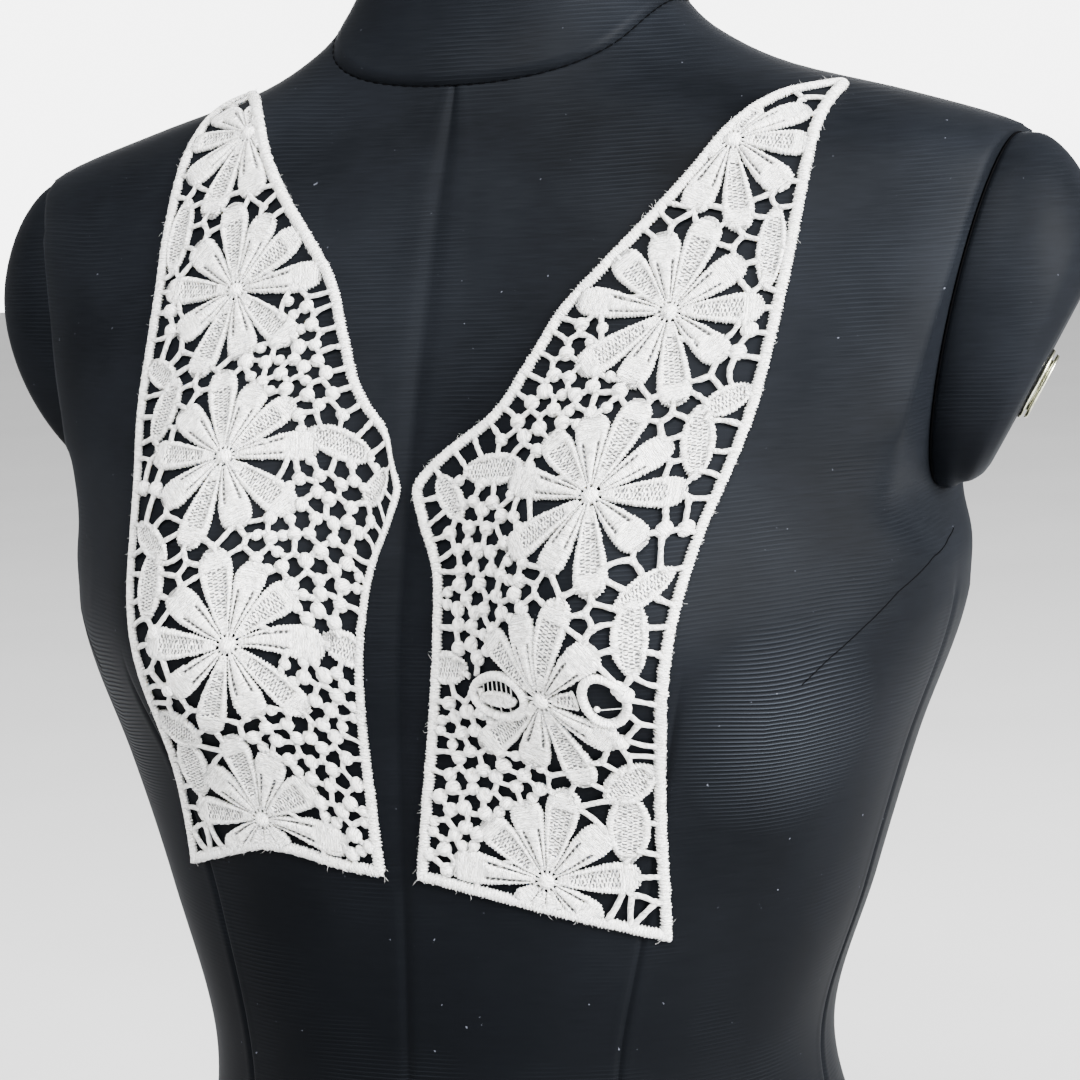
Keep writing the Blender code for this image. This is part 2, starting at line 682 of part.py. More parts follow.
# The lace in the flat: the outline and the gaps that are cut through
outline = panel_outline()
xs = np.arange(2.0, 142.0, FIELD_STEP)
ys = np.arange(2.0, 360.0, FIELD_STEP)
grid_x, grid_y = np.meshgrid(xs, ys)
coarse_x, coarse_y = np.meshgrid(np.arange(3, 141, 1.2), np.arange(3, 358, 1.2))
coarse_rim = distance_inside(outline, coarse_x, coarse_y)
gap_middles = place_gaps(coarse_rim, motif_field(coarse_x, coarse_y), coarse_x, coarse_y)
rim_field = distance_inside(outline, grid_x, grid_y)
lace = lace_field(grid_x, grid_y, rim_field, motif_field(grid_x, grid_y), gap_middles)
gaps = []
for loop in contours(np.where(rim_field < 1.5, 1.0, lace), xs, ys):
    low = loop.min(axis=0)
    high = loop.max(axis=0)
    box = (grid_x >= low[0]) & (grid_x <= high[0]) & (grid_y >= low[1]) & (grid_y <= high[1])
    inside = within_loop(loop, grid_x[box], grid_y[box])
    if not inside.any():
        continue
    width = -2 * lace[box][inside].min()
    area = inside.sum() * FIELD_STEP ** 2
    if width > LEAST_GAP:
        gaps.append((area, loop))
gaps.sort(key=lambda gap: -gap[0])
print("gaps wide enough:", len(gaps))
hole_loops = []
for area, loop in gaps[:MOST_GAPS]:
    hole_loops.append(simpler(loop, GAP_POINTS + (2 if area > 70 else 0) - (1 if area < 36 else 0)))
rim_loop = simpler(outline, OUTLINE_POINTS)
loops = [rim_loop] + hole_loops


def points_on_motifs():
    # Raised points: along each petal and leaf, on each button and on each ball, with their heights
    raised = []
    for flower_x, flower_y in FLOWERS:
        raised.append((flower_x, flower_y, WALL + BUTTON_RISE))
        for k in range(6):
            turn = math.radians(60 * k + 14)
            x = flower_x + 3.0 * math.cos(turn)
            y = flower_y + 3.0 * math.sin(turn)
            raised.append((x, y, WALL + BUTTON_RISE * 0.8))
        for direction, length, ladder in PETALS:
            c = math.cos(math.radians(direction))
            s = math.sin(math.radians(direction))
            for share, rise in ((0.24, 0.35), (0.42, 0.9), (0.66, 1.0), (0.86, 0.7)):
                height = WALL + PETAL_RISE * rise * (0.8 if ladder else 1.0)
                raised.append((flower_x + c * length * share, flower_y + s * length * share, height))
    for leaf_x, leaf_y, direction, length, _ in LEAVES:
        c = math.cos(math.radians(direction))
        s = math.sin(math.radians(direction))
        for share in (-0.3, 0.0, 0.3):
            height = WALL + PETAL_RISE * (1.0 - abs(share))
            raised.append((leaf_x + c * length * share, leaf_y + s * length * share, height))
    for ball_x, ball_y in BALLS:
        raised.append((ball_x, ball_y, WALL + BALL_RISE))
    return raised


def read_field(field, x, y):
    column = np.clip(((x - xs[0]) / FIELD_STEP).round().astype(int), 0, len(xs) - 1)
    row = np.clip(((y - ys[0]) / FIELD_STEP).round().astype(int), 0, len(ys) - 1)
    return field[row, column]


def spread_points(spacing, kept):
    # Points of a staggered grid that lie on thread, clear of the kept ones
    added = []
    for row, y in enumerate(np.arange(8, 352, spacing * 0.866)):
        for x in np.arange(6 + (row % 2) * spacing / 2, 139, spacing):
            spot = np.array([x, y])
            if read_field(lace, spot[:1], spot[1:])[0] < 1.4:
                continue
            if read_field(rim_field, spot[:1], spot[1:])[0] < 2.2:
                continue
            if len(kept) and np.hypot(*(kept - spot).T).min() < spacing * 0.5:
                continue
            added.append((x, y, WALL + 0.2))
    return added


def clear_of_loops(points, least):
    flat = np.array([p[:2] for p in points]).reshape(-1, 2)
    distance = np.full(len(flat), 1e9)
    for loop in loops:
        distance = np.minimum(distance, np.abs(distance_inside(loop, flat[:, 0], flat[:, 1])))
    in_rim = within_loop(rim_loop, flat[:, 0], flat[:, 1])
    in_hole = np.zeros(len(flat), bool)
    for loop in hole_loops:
        in_hole |= within_loop(loop, flat[:, 0], flat[:, 1])
    return [p for p, d, a, b in zip(points, distance, in_rim, in_hole) if d > least and a and not b]


border = np.vstack(loops)
edges = []
first = 0
for loop in loops:
    count = len(loop)
    edges += [(first + k, first + (k + 1) % count) for k in range(count)]
    first += count


def face_of(extra):
    # Triangles over the lace between its loops, with the extra points in them
    flat = np.vstack([border, np.array([p[:2] for p in extra]).reshape(-1, 2)])
    found = delaunay_2d_cdt([Vector(p) for p in flat], edges, [], 0, 1e-6, True)
    triangles = found[2]
    origin = [ids[0] for ids in found[3]]
    corners = np.array([[origin[k] for k in triangle] for triangle in triangles])
    middle = flat[corners].mean(axis=1)
    keep = within_loop(rim_loop, middle[:, 0], middle[:, 1])
    for loop in hole_loops:
        keep &= ~within_loop(loop, middle[:, 0], middle[:, 1])
    corners = corners[keep]
    a, b, c = flat[corners[:, 0]], flat[corners[:, 1]], flat[corners[:, 2]]
    area = (b[:, 0] - a[:, 0]) * (c[:, 1] - a[:, 1]) - (b[:, 1] - a[:, 1]) * (c[:, 0] - a[:, 0])
    corners[area < 0] = corners[area < 0][:, ::-1]
    return flat, corners


raised = clear_of_loops(points_on_motifs(), 0.9)
outer_extra = raised + clear_of_loops(spread_points(12.0, np.array([p[:2] for p in raised])), 0.9)
inner_extra = clear_of_loops(spread_points(11.5, np.empty((0, 2))), 0.9)
outer_flat, outer_faces = face_of(outer_extra)
inner_flat, inner_faces = face_of(inner_extra)
outer_heights = np.concatenate([np.full(len(border), WALL), [p[2] for p in outer_extra]])
print("cut through:", len(hole_loops), "triangles:", len(outer_faces) + len(inner_faces) + 2 * len(border))

# Lace panels, mirrored, each laid on its own side of the form
for side, word in ((1, "left"), (-1, "right")):
    outer_place, outer_normal = on_form(outer_flat, side)
    inner_place, inner_normal = on_form(inner_flat, side)
    inner_place = lifted_clear(inner_place, inner_normal, inner_faces)
    outer_place[:len(border)] = inner_place[:len(border)]
    outer_place = outer_place + outer_normal * outer_heights[:, None] / 1000
    shift = len(outer_place)
    points = np.vstack([outer_place, inner_place])
    faces = [tuple(map(int, f)) for f in outer_faces]
    faces += [tuple(int(k) + shift for k in f[::-1]) for f in inner_faces]
    wall_count = 0
    for loop in loops:
        ids = list(range(wall_count, wall_count + len(loop)))
        wall_count += len(loop)
        flat = border[ids]
        turning = np.sum(flat[:, 0] * np.roll(flat[:, 1], -1) - flat[:, 1] * np.roll(flat[:, 0], -1))
        anticlockwise = turning > 0
        hole = ids[0] > 0
        for a, b in zip(ids, ids[1:] + ids[:1]):
            if anticlockwise == hole:
                a, b = b, a
            faces.append((a, a + shift, b + shift))
            faces.append((a, b + shift, b))
    if side < 0:
        faces = [f[::-1] for f in faces]
    make_mesh("lace_panel_" + word, points, faces, (0.80, 0.78, 0.73), 0.85, 0.0, False, 0.3)
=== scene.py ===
import math

import bmesh
import bpy
import numpy as np
from mathutils import Matrix, Vector
from mathutils.geometry import delaunay_2d_cdt


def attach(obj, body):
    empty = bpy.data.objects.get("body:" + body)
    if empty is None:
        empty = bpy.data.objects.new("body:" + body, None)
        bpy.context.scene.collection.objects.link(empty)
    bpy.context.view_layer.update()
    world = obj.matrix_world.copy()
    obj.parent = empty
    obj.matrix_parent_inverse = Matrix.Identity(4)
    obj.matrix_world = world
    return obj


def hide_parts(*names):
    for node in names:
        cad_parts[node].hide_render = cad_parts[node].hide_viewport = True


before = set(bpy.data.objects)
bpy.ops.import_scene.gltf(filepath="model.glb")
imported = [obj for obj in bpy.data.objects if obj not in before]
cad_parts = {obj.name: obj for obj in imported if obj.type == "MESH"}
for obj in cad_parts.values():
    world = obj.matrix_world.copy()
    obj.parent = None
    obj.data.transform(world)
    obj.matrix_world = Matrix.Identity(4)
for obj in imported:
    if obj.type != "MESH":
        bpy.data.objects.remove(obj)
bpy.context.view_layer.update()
print("frame loaded:", len(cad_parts), "nodes")

# Camera at the photograph's viewing angle, sizes in metres and the image in pixels
photoView = {"azimuth": 24.01, "distance": 1.192, "height": 0.525, "aimY": 0.012, "pitch": 7.77,
             "roll": -3.11, "focal": 3203.0, "imageSize": 1080.0, "shiftRight": 17.0, "shiftUp": 22.5}


def setCamera():
    view = photoView
    turn = math.radians(view["azimuth"])
    pitch = math.radians(view["pitch"])
    roll = math.radians(view["roll"])
    forward = Vector((-math.sin(turn) * math.cos(pitch), math.cos(turn) * math.cos(pitch), -math.sin(pitch)))
    level = Vector((math.cos(turn), math.sin(turn), 0))
    upright = level.cross(forward)
    right = level * math.cos(roll) + upright * math.sin(roll)
    up = upright * math.cos(roll) - level * math.sin(roll)
    lens = bpy.data.cameras.new("photoCamera")
    lens.sensor_width = 36.0
    lens.lens = view["focal"] / view["imageSize"] * 36.0
    lens.shift_x = view["shiftRight"] / view["imageSize"]
    lens.shift_y = view["shiftUp"] / view["imageSize"]
    lens.clip_end = 50
    holder = bpy.data.objects.new("photoCamera", lens)
    bpy.context.scene.collection.objects.link(holder)
    turned = Matrix((right, up, -forward)).transposed().to_4x4()
    turned.translation = Vector((view["distance"] * math.sin(turn),
                                 view["aimY"] - view["distance"] * math.cos(turn), view["height"]))
    holder.matrix_world = turned
    bpy.context.scene.camera = holder


setCamera()

# The form's shape: height, half width, middle y, front depth, back depth, squareness
formSections = np.array([
    (0.000, 0.168, 0.003, 0.107, 0.124, 2.2),
    (0.030, 0.167, 0.002, 0.108, 0.124, 2.2),
    (0.070, 0.157, 0.001, 0.109, 0.117, 2.2),
    (0.130, 0.131, -0.004, 0.104, 0.100, 2.2),
    (0.190, 0.117, -0.008, 0.102, 0.088, 2.2),
    (0.250, 0.135, -0.004, 0.102, 0.092, 2.2),
    (0.300, 0.151, -0.001, 0.102, 0.101, 2.3),
    (0.350, 0.170, 0.000, 0.096, 0.111, 2.4),
    (0.390, 0.175, 0.001, 0.086, 0.117, 2.4),
    (0.430, 0.184, 0.004, 0.077, 0.117, 2.4),
    (0.470, 0.193, 0.012, 0.069, 0.109, 2.4),
    (0.495, 0.199, 0.020, 0.067, 0.098, 2.3),
    (0.515, 0.193, 0.027, 0.064, 0.086, 2.2),
    (0.530, 0.149, 0.031, 0.061, 0.078, 2.1),
    (0.542, 0.106, 0.031, 0.056, 0.071, 2.0),
    (0.555, 0.079, 0.031, 0.052, 0.067, 2.0),
    (0.575, 0.060, 0.031, 0.050, 0.062, 2.0),
    (0.625, 0.056, 0.030, 0.052, 0.060, 2.0),
])
formSizes = {"floor": 0.0123, "bustAcross": 0.083, "bustHeight": 0.358, "bustRise": 0.034, "bustWidth": 0.050,
             "bustUpper": 0.075, "bustLower": 0.048, "neckSeam": 0.567, "neckDip": 0.027, "neckTop": 0.618,
             "neckEdge": 0.006, "gap": 0.0003, "sideX": 0.1865, "sideHeight": 0.497, "sideLean": 14.5,
             "sideLow": 0.386, "sideLedge": 1.4}


def easedColumn(table, column, height):
    # Smooth curve through one column of a table
    rows = table[:, 0]
    values = table[:, column]
    height = np.clip(np.asarray(height, float), rows[0], rows[-1])
    gap = np.diff(rows)
    rise = np.diff(values) / gap
    inner = (rise[:-1] * gap[1:] + rise[1:] * gap[:-1]) / (gap[:-1] + gap[1:])
    slope = np.concatenate([[rise[0]], inner, [rise[-1]]])
    k = np.clip(np.searchsorted(rows, height, side="right") - 1, 0, len(rows) - 2)
    h = gap[k]
    t = (height - rows[k]) / h
    start = (1 + 2 * t) * (1 - t) ** 2 * values[k] + t * (1 - t) ** 2 * h * slope[k]
    end = t * t * (3 - 2 * t) * values[k + 1] - t * t * (1 - t) * h * slope[k + 1]
    return start + end


def eased(height, column):
    return easedColumn(formSections, column, height)


def bustAt(x, z):
    spread = np.where(z > formSizes["bustHeight"], formSizes["bustUpper"], formSizes["bustLower"])
    away = ((np.abs(x) - formSizes["bustAcross"]) / formSizes["bustWidth"]) ** 2
    return formSizes["bustRise"] * np.exp(-away - ((z - formSizes["bustHeight"]) / spread) ** 2)


def sidePlane(z):
    # Flat sides where the arms would start
    lean = math.tan(math.radians(formSizes["sideLean"]))
    plane = formSizes["sideX"] + (z - formSizes["sideHeight"]) * lean
    return plane + np.clip(formSizes["sideLow"] - z, 0, None) * formSizes["sideLedge"]


def insideForm(points):
    x, y, z = points[..., 0], points[..., 1], points[..., 2]
    half = eased(z, 1)
    power = eased(z, 5)
    left = np.clip(1 - (np.abs(x) / half) ** power, 0, 1)
    front = eased(z, 2) - eased(z, 3) * left ** (1 / power) - bustAt(x, z) * left ** 0.4
    back = eased(z, 2) + eased(z, 4) * left ** (1 / power)
    return (np.abs(x) < half) & (np.abs(x) < sidePlane(z)) & (y > front) & (y < back)


def formPoint(z, angle):
    # Point of the form's surface; the angle runs from +X through the back
    z, angle = np.broadcast_arrays(np.asarray(z, float), np.asarray(angle, float))
    power = eased(z, 5)
    c = np.cos(angle)
    s = np.sin(angle)
    x = eased(z, 1) * np.sign(c) * np.abs(c) ** (2 / power)
    x = np.clip(x, -sidePlane(z), sidePlane(z))
    depth = np.where(s < 0, eased(z, 3), eased(z, 4))
    y = eased(z, 2) + depth * np.sign(s) * np.abs(s) ** (2 / power)
    y = y - np.where(s < 0, bustAt(x, z) * np.abs(s) ** 0.8, 0)
    return np.stack([x, y, z], -1)


def neckDipAt(angle):
    return formSizes["neckDip"] * np.clip(-np.sin(angle), 0, None) ** 2


def seamHeight(height, angle):
    # Rings near the neck dip at the front as its seam does
    share = np.clip((height - 0.500) / (formSizes["neckSeam"] - 0.500), 0, 1) ** 2
    return height - share * neckDipAt(angle)


# Mesh helpers
def meshArrays(bm):
    # Places, corners, sides and mapping of a small mesh, which is used up
    mesh = bpy.data.meshes.new("scratch")
    bm.to_mesh(mesh)
    bm.free()
    places = np.empty(len(mesh.vertices) * 3)
    corners = np.empty(len(mesh.loops), np.int32)
    sides = np.empty(len(mesh.polygons), np.int32)
    mapping = np.zeros((len(mesh.loops), 4))
    mesh.vertices.foreach_get("co", places)
    mesh.loops.foreach_get("vertex_index", corners)
    mesh.polygons.foreach_get("loop_total", sides)
    for k, layer in enumerate(mesh.uv_layers):
        values = np.empty(len(mesh.loops) * 2)
        layer.data.foreach_get("uv", values)
        mapping[:, 2 * k:2 * k + 2] = values.reshape(-1, 2)
    bpy.data.meshes.remove(mesh)
    return places.reshape(-1, 3), corners, sides, mapping


class Pile:
    # Many small meshes joined into one, as arrays
    def __init__(self):
        self.places = []
        self.corners = []
        self.sides = []
        self.mapping = []
        self.count = 0

    def add(self, places, corners, sides, mapping):
        self.places.append(places)
        self.corners.append(corners + self.count)
        self.sides.append(sides)
        self.mapping.append(mapping)
        self.count += len(places)

    def faces(self):
        return sum(len(sides) for sides in self.sides)

    def mesh(self, name, lay=None):
        # The joined mesh, its points moved by lay
        places = np.concatenate(self.places)
        corners = np.concatenate(self.corners)
        sides = np.concatenate(self.sides)
        mesh = bpy.data.meshes.new(name)
        mesh.vertices.add(len(places))
        mesh.loops.add(len(corners))
        mesh.polygons.add(len(sides))
        mesh.vertices.foreach_set("co", (lay(places) if lay else places).ravel())
        mesh.loops.foreach_set("vertex_index", corners)
        mesh.polygons.foreach_set("loop_start", np.concatenate([[0], np.cumsum(sides)[:-1]]).astype(np.int32))
        mapping = np.concatenate(self.mapping)
        for k, layer in enumerate(("UVMap", "stitchMap")):
            values = np.ascontiguousarray(mapping[:, 2 * k:2 * k + 2])
            mesh.uv_layers.new(name=layer).data.foreach_set("uv", values.ravel())
        mesh.update(calc_edges=True)
        return mesh


def newObject(name, shape, material):
    mesh = shape
    if isinstance(shape, bmesh.types.BMesh):
        mesh = bpy.data.meshes.new(name)
        shape.to_mesh(mesh)
        shape.free()
    mesh.polygons.foreach_set("use_smooth", np.ones(len(mesh.polygons), bool))
    mesh.materials.append(material)
    obj = bpy.data.objects.new(name, mesh)
    bpy.context.scene.collection.objects.link(obj)
    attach(obj, "root")
    return obj


def gridSurface(bm, places, mapping=None, merge=1e-6):
    # Wraps a grid over an array of places: rows, then columns
    rows, columns = places.shape[:2]
    made = bmesh.ops.create_grid(bm, x_segments=columns - 1, y_segments=rows - 1, size=1.0)["verts"]
    flat = places.reshape(-1, 3).tolist()
    if mapping is None:
        for vert, co in zip(made, flat):
            vert.co = co
    else:
        layers = [bm.loops.layers.uv.new(name) for name in ("UVMap", "stitchMap")[:mapping.shape[-1] // 2]]
        for vert, co, uv in zip(made, flat, mapping.reshape(-1, mapping.shape[-1]).tolist()):
            vert.co = co
            for k, layer in enumerate(layers):
                for loop in vert.link_loops:
                    loop[layer].uv = uv[2 * k:2 * k + 2]
    bmesh.ops.remove_doubles(bm, verts=made, dist=merge)


def closedRows(rows):
    # A mesh over rings of places, closed in the middle of its first and last ring
    rows = np.array(rows)
    low, high = (np.broadcast_to(rows[k].mean(axis=0), rows[:1].shape) for k in (0, -1))
    bm = bmesh.new()
    gridSurface(bm, np.concatenate([low, rows, high]))
    return bm


def roundSection(size, sides):
    # Offsets and heights of a round section, with this size at each point of a path
    turn = np.linspace(0, 2 * math.pi, sides + 1)
    return -size[:, None] * np.cos(turn), size[:, None] * np.sin(turn)


def sweep(pile, path, left, offsets, heights, up=(0.0, 0.0, 1.0), unit=1.0, merge=1e-4):
    # Carries a section along a path; offsets and heights hold a row for each point of the path
    left, up = (np.broadcast_to(way, path.shape)[:, None] for way in (left, up))
    places = path[:, None] + left * offsets[..., None] + up * heights[..., None]
    along = np.concatenate([[0], np.cumsum(np.linalg.norm(np.diff(path, axis=0), axis=1))]) / unit
    steps = np.linalg.norm(np.diff(places, axis=1), axis=2) / unit
    across = np.concatenate([np.zeros((len(path), 1)), np.cumsum(steps, axis=1)], axis=1)
    mapping = np.stack([np.broadcast_to(along[:, None], across.shape), across], -1)
    bm = bmesh.new()
    gridSurface(bm, places.transpose(1, 0, 2), mapping.transpose(1, 0, 2), merge)
    pile.add(*meshArrays(bm))


def smoothStep(value):
    value = np.clip(value, 0, 1)
    return value * value * (3 - 2 * value)


def levelOut(places, middleY):
    # Level unit vectors away from an upright line
    out = places - np.array([0, middleY, 0])
    out[..., 2] = 0
    return out / np.linalg.norm(out, axis=-1, keepdims=True)


# Materials
class Nodes:
    # Short way to add and join the nodes of one material
    def __init__(self, name):
        self.material = bpy.data.materials.new(name)
        self.material.use_nodes = True
        self.tree = self.material.node_tree
        self.shader = self.tree.nodes["Principled BSDF"]

    def add(self, kind, **values):
        node = self.tree.nodes.new(kind)
        for key, value in values.items():
            if key.startswith("in_"):
                name = key[3:].replace("_", " ")
                socket = node.inputs[int(name)] if name.isdigit() else node.inputs[name]
                if isinstance(value, bpy.types.NodeSocket):
                    self.tree.links.new(value, socket)
                else:
                    socket.default_value = value
            else:
                setattr(node, key, value)
        return node

    def math(self, operation, a, b=0.0):
        return self.add("ShaderNodeMath", operation=operation, in_0=a, in_1=b).outputs[0]

    def plus(self, a, b):
        return self.math("ADD", a, b)

    def times(self, a, b):
        return self.math("MULTIPLY", a, b)

    def wave(self, value, period, kind="SINE"):
        return self.math(kind, self.times(value, 2 * math.pi / period))

    def noise(self, place, scale, detail):
        return self.add("ShaderNodeTexNoise", in_Vector=place, in_Scale=scale, in_Detail=detail).outputs[0]

    def ramp(self, value, low, high):
        node = self.add("ShaderNodeMapRange", in_Value=value, in_From_Min=low, in_From_Max=high)
        return node.outputs["Result"]

    def mixColour(self, factor, *colours):
        first, second = (c if isinstance(c, bpy.types.NodeSocket) else (*c, 1) for c in colours)
        return self.add("ShaderNodeMix", data_type="RGBA", in_0=factor, in_6=first, in_7=second).outputs[2]

    def objectPlace(self):
        return self.add("ShaderNodeTexCoord").outputs["Object"]

    def bump(self, height, strength, distance, after=None):
        node = self.add("ShaderNodeBump", in_Height=height, in_Strength=strength, in_Distance=distance)
        if after is not None:
            self.tree.links.new(after, node.inputs["Normal"])
        return node.outputs[0]

    def join(self, output, socket):
        self.tree.links.new(output, self.shader.inputs[socket])

    def roughness(self, value, low, high):
        node = self.add("ShaderNodeMapRange", in_Value=value, in_To_Min=low, in_To_Max=high)
        self.join(node.outputs["Result"], "Roughness")

    def settle(self, **values):
        for key, value in values.items():
            self.shader.inputs[key.replace("_", " ")].default_value = value


laceLooks = {"shade": (0.66, 0.65, 0.625), "light": (0.87, 0.865, 0.845), "hole": (0.018, 0.018, 0.021),
             "threadWidth": 0.52, "bundleWidth": 1.25, "threadDepth": 0.00028, "bundleDepth": 0.00050,
             "fuzzDepth": 0.00025, "twist": 1.15, "dash": 1.9, "dotsAlong": 1.30, "dotsAcross": 3.5,
             "dotEdge": (0.50, 0.78), "dashEdge": (-0.45, -0.05), "openEdge": (0.10, 0.30)}


def laceCotton(name, twisted):
    # Cotton thread: satin stitch across a band, or a twisted bar
    looks = laceLooks
    n = Nodes(name)
    place = n.add("ShaderNodeUVMap", uv_map="UVMap").outputs[0]
    split = n.add("ShaderNodeSeparateXYZ", in_0=place)
    along, across = split.outputs[0], split.outputs[1]
    lead = n.plus(along, n.times(n.noise(place, 0.7, 2.0), 0.9))
    if twisted:
        lead = n.plus(lead, n.times(across, looks["twist"]))
    thread = n.wave(lead, looks["threadWidth"])
    stretched = n.add("ShaderNodeCombineXYZ", in_X=n.times(lead, 1 / looks["bundleWidth"]),
                      in_Y=n.times(across, 0.12))
    bundle = n.noise(stretched.outputs[0], 2.2, 3.0)
    wide = n.noise(n.objectPlace(), 900.0, 3.0)
    tone = n.plus(n.times(bundle, 0.70), n.times(wide, 0.30))
    # Dashes in the slits and staggered dots in the nets show what lies behind
    stitch = n.add("ShaderNodeSeparateXYZ", in_0=n.add("ShaderNodeUVMap", uv_map="stitchMap").outputs[0])
    opened, netted = stitch.outputs[0], stitch.outputs[1]
    sway = n.times(n.noise(place, 0.7, 1.0), 1.6)
    dash = n.wave(n.plus(along, sway), looks["dash"])
    rowsAlong = n.wave(n.plus(along, sway), looks["dotsAlong"])
    rowsAcross = n.wave(n.plus(across, n.times(sway, 0.6)), looks["dotsAcross"], "COSINE")
    patchy = n.noise(place, 0.55, 1.0)
    rows = n.times(rowsAlong, rowsAcross)
    dots = n.ramp(n.plus(rows, n.times(patchy, 0.9)), *looks["dotEdge"])
    dashes = n.ramp(dash, *looks["dashEdge"])
    chosen = n.add("ShaderNodeMix", data_type="FLOAT", in_0=netted, in_2=dashes, in_3=dots).outputs[0]
    holes = n.times(chosen, n.ramp(opened, *looks["openEdge"]))
    cotton = n.mixColour(n.ramp(tone, 0.32, 0.62), looks["shade"], looks["light"])
    n.join(n.mixColour(n.times(holes, 0.93), cotton, looks["hole"]), "Base Color")
    fine = n.bump(thread, 0.9, looks["threadDepth"])
    fuzz = n.bump(wide, 0.8, looks["fuzzDepth"], fine)
    coarse = n.bump(n.math("SUBTRACT", bundle, holes), 1.0, looks["bundleDepth"], fuzz)
    n.join(coarse, "Normal")
    n.roughness(bundle, 0.75, 0.95)
    n.settle(Sheen_Weight=0.25, Sheen_Roughness=0.5, Specular_IOR_Level=0.2)
    n.settle(Subsurface_Weight=0.12, Subsurface_Radius=(0.0012, 0.0011, 0.0009), Subsurface_Scale=1.0)
    return n.material


clothLooks = {"dark": (0.0007, 0.0009, 0.0013), "light": (0.0046, 0.0054, 0.0070), "ribHeight": 0.00148,
              "ribDepth": 0.00030, "ribPlace": (0.130, -0.071, 0.318), "ribReach": 0.040, "ribSag": 0.004,
              "ribPaintedHighlight": (0.028, 0.033, 0.041), "lint": (0.06, 0.065, 0.08)}


def formCloth():
    # Black cloth with a little lint, and fine level ribs that show most under the bust; its colour holds
    # painted shade below the bust and painted highlights on the rib crests
    looks = clothLooks
    n = Nodes("formCloth")
    place = n.objectPlace()
    axes = n.add("ShaderNodeSeparateXYZ", in_0=place)
    sway = n.noise(place, 9.0, 2.0)
    height = n.plus(axes.outputs[2], n.times(sway, 0.010))
    folded = n.add("ShaderNodeCombineXYZ", in_X=n.math("ABSOLUTE", axes.outputs[0]), in_Y=axes.outputs[1],
                   in_Z=axes.outputs[2]).outputs[0]
    away = n.add("ShaderNodeVectorMath", operation="DISTANCE", in_0=folded, in_1=looks["ribPlace"])
    near = n.ramp(away.outputs["Value"], looks["ribReach"], 0.008)
    height = n.plus(height, n.times(near, looks["ribSag"]))
    rib = n.wave(height, looks["ribHeight"])
    patchy = n.noise(place, 22.0, 1.0)
    strength = n.plus(n.times(n.ramp(patchy, 0.45, 0.70), 0.10), n.times(near, 0.80))
    ribs = n.times(rib, strength)
    stretched = n.add("ShaderNodeMapping", in_Vector=place, in_Scale=(90.0, 90.0, 1500.0))
    streak = n.noise(stretched.outputs[0], 1.0, 3.0)
    cloud = n.noise(place, 14.0, 4.0)
    tone = n.plus(n.times(streak, 0.26), n.times(cloud, 0.74))
    tone = n.plus(tone, n.times(ribs, 0.12))
    # Painted shade: the colour darkens below the bust, where less light falls, and is lighter above it
    paintedShadeBelowBust = n.plus(n.times(n.ramp(axes.outputs[2], 0.22, 0.42), 0.72), 0.28)
    cloth = n.mixColour(n.times(n.ramp(tone, 0.25, 0.72), paintedShadeBelowBust), looks["dark"], looks["light"])
    # Painted highlight: rib crests near ribPlace are mixed toward a lighter colour, as glints of light on the
    # ribs
    paintedRibGlint = n.times(n.ramp(rib, 0.55, 1.0), n.times(strength, 0.80))
    cloth = n.mixColour(paintedRibGlint, cloth, looks["ribPaintedHighlight"])
    specks = n.noise(place, 420.0, 2.0)
    lint = n.times(n.ramp(specks, 0.765, 0.80), 0.8)
    n.join(n.mixColour(lint, cloth, looks["lint"]), "Base Color")
    first = n.bump(ribs, 0.9, looks["ribDepth"])
    n.join(n.bump(streak, 0.20, 0.0002, first), "Normal")
    n.roughness(cloud, 0.50, 0.60)
    n.settle(Sheen_Weight=0.006, Sheen_Roughness=0.35, Sheen_Tint=(0.62, 0.72, 0.95, 1), IOR=1.085,
             Specular_IOR_Level=0.5)
    return n.material


def plainFinish(name, dark, light, rough, scale, depth, metallic=0.0, gloss=0.5):
    # One colour that varies a little, with a fine grain in its surface
    n = Nodes(name)
    place = n.objectPlace()
    grain = n.noise(place, scale, 4.0)
    n.join(n.mixColour(n.ramp(grain, 0.3, 0.7), dark, light), "Base Color")
    n.roughness(grain, rough - 0.06, rough + 0.08)
    n.join(n.bump(grain, 0.5, depth), "Normal")
    n.settle(Metallic=metallic, Specular_IOR_Level=gloss)
    return n.material


satinStitch = laceCotton("satinStitch", False)
twistedThread = laceCotton("twistedThread", True)
blackCloth = formCloth()
# Dark thread for the neck stitches, also used for cords that paint the shade of the dart folds and armhole
# gaps
darkThreadAndShade = plainFinish("darkThreadAndShade", (0.0003, 0.0003, 0.0004), (0.0010, 0.0010, 0.0012), 0.7,
                          scale=900.0, depth=0.00005, gloss=0.01)
plateMetal = plainFinish("plateMetal", (0.26, 0.26, 0.18), (0.62, 0.62, 0.50), 0.26,
                         scale=160.0, depth=0.00012, metallic=1.0)
boardFinish = plainFinish("boardFinish", (0.004, 0.004, 0.004), (0.009, 0.009, 0.009), 0.45,
                          scale=260.0, depth=0.00004, gloss=0.12)
print("materials made")

# Torso, with a groove at each seam: angle from the front in degrees, and the highest point of the seam
torsoSeams = {"centre": (0.0, 0.600), "princess": (35.5, 0.345), "side": (90.0, 0.372),
              "backPrincess": (142.0, 0.470), "backCentre": (180.0, 0.600)}
# Row steps: up to this height, with this step; the ledge lies between these widths and heights
torsoLooks = {"rowSteps": [(0.366, 0.0042), (0.410, 0.0022), (0.490, 0.0040), (0.566, 0.0026)],
              "ledge": (0.140, 0.176, 0.355, 0.412), "ledgeSmooth": 30, "columnStep": 1.55, "seamClear": 2.6,
              "besideSeam": (-2.2, -1.2, -0.55, -0.2, 0.0, 0.2, 0.55, 1.2, 2.2), "middleY": 0.010,
              "grooveDepth": 0.0007, "grooveWidth": 0.42, "swellRise": 0.00022}


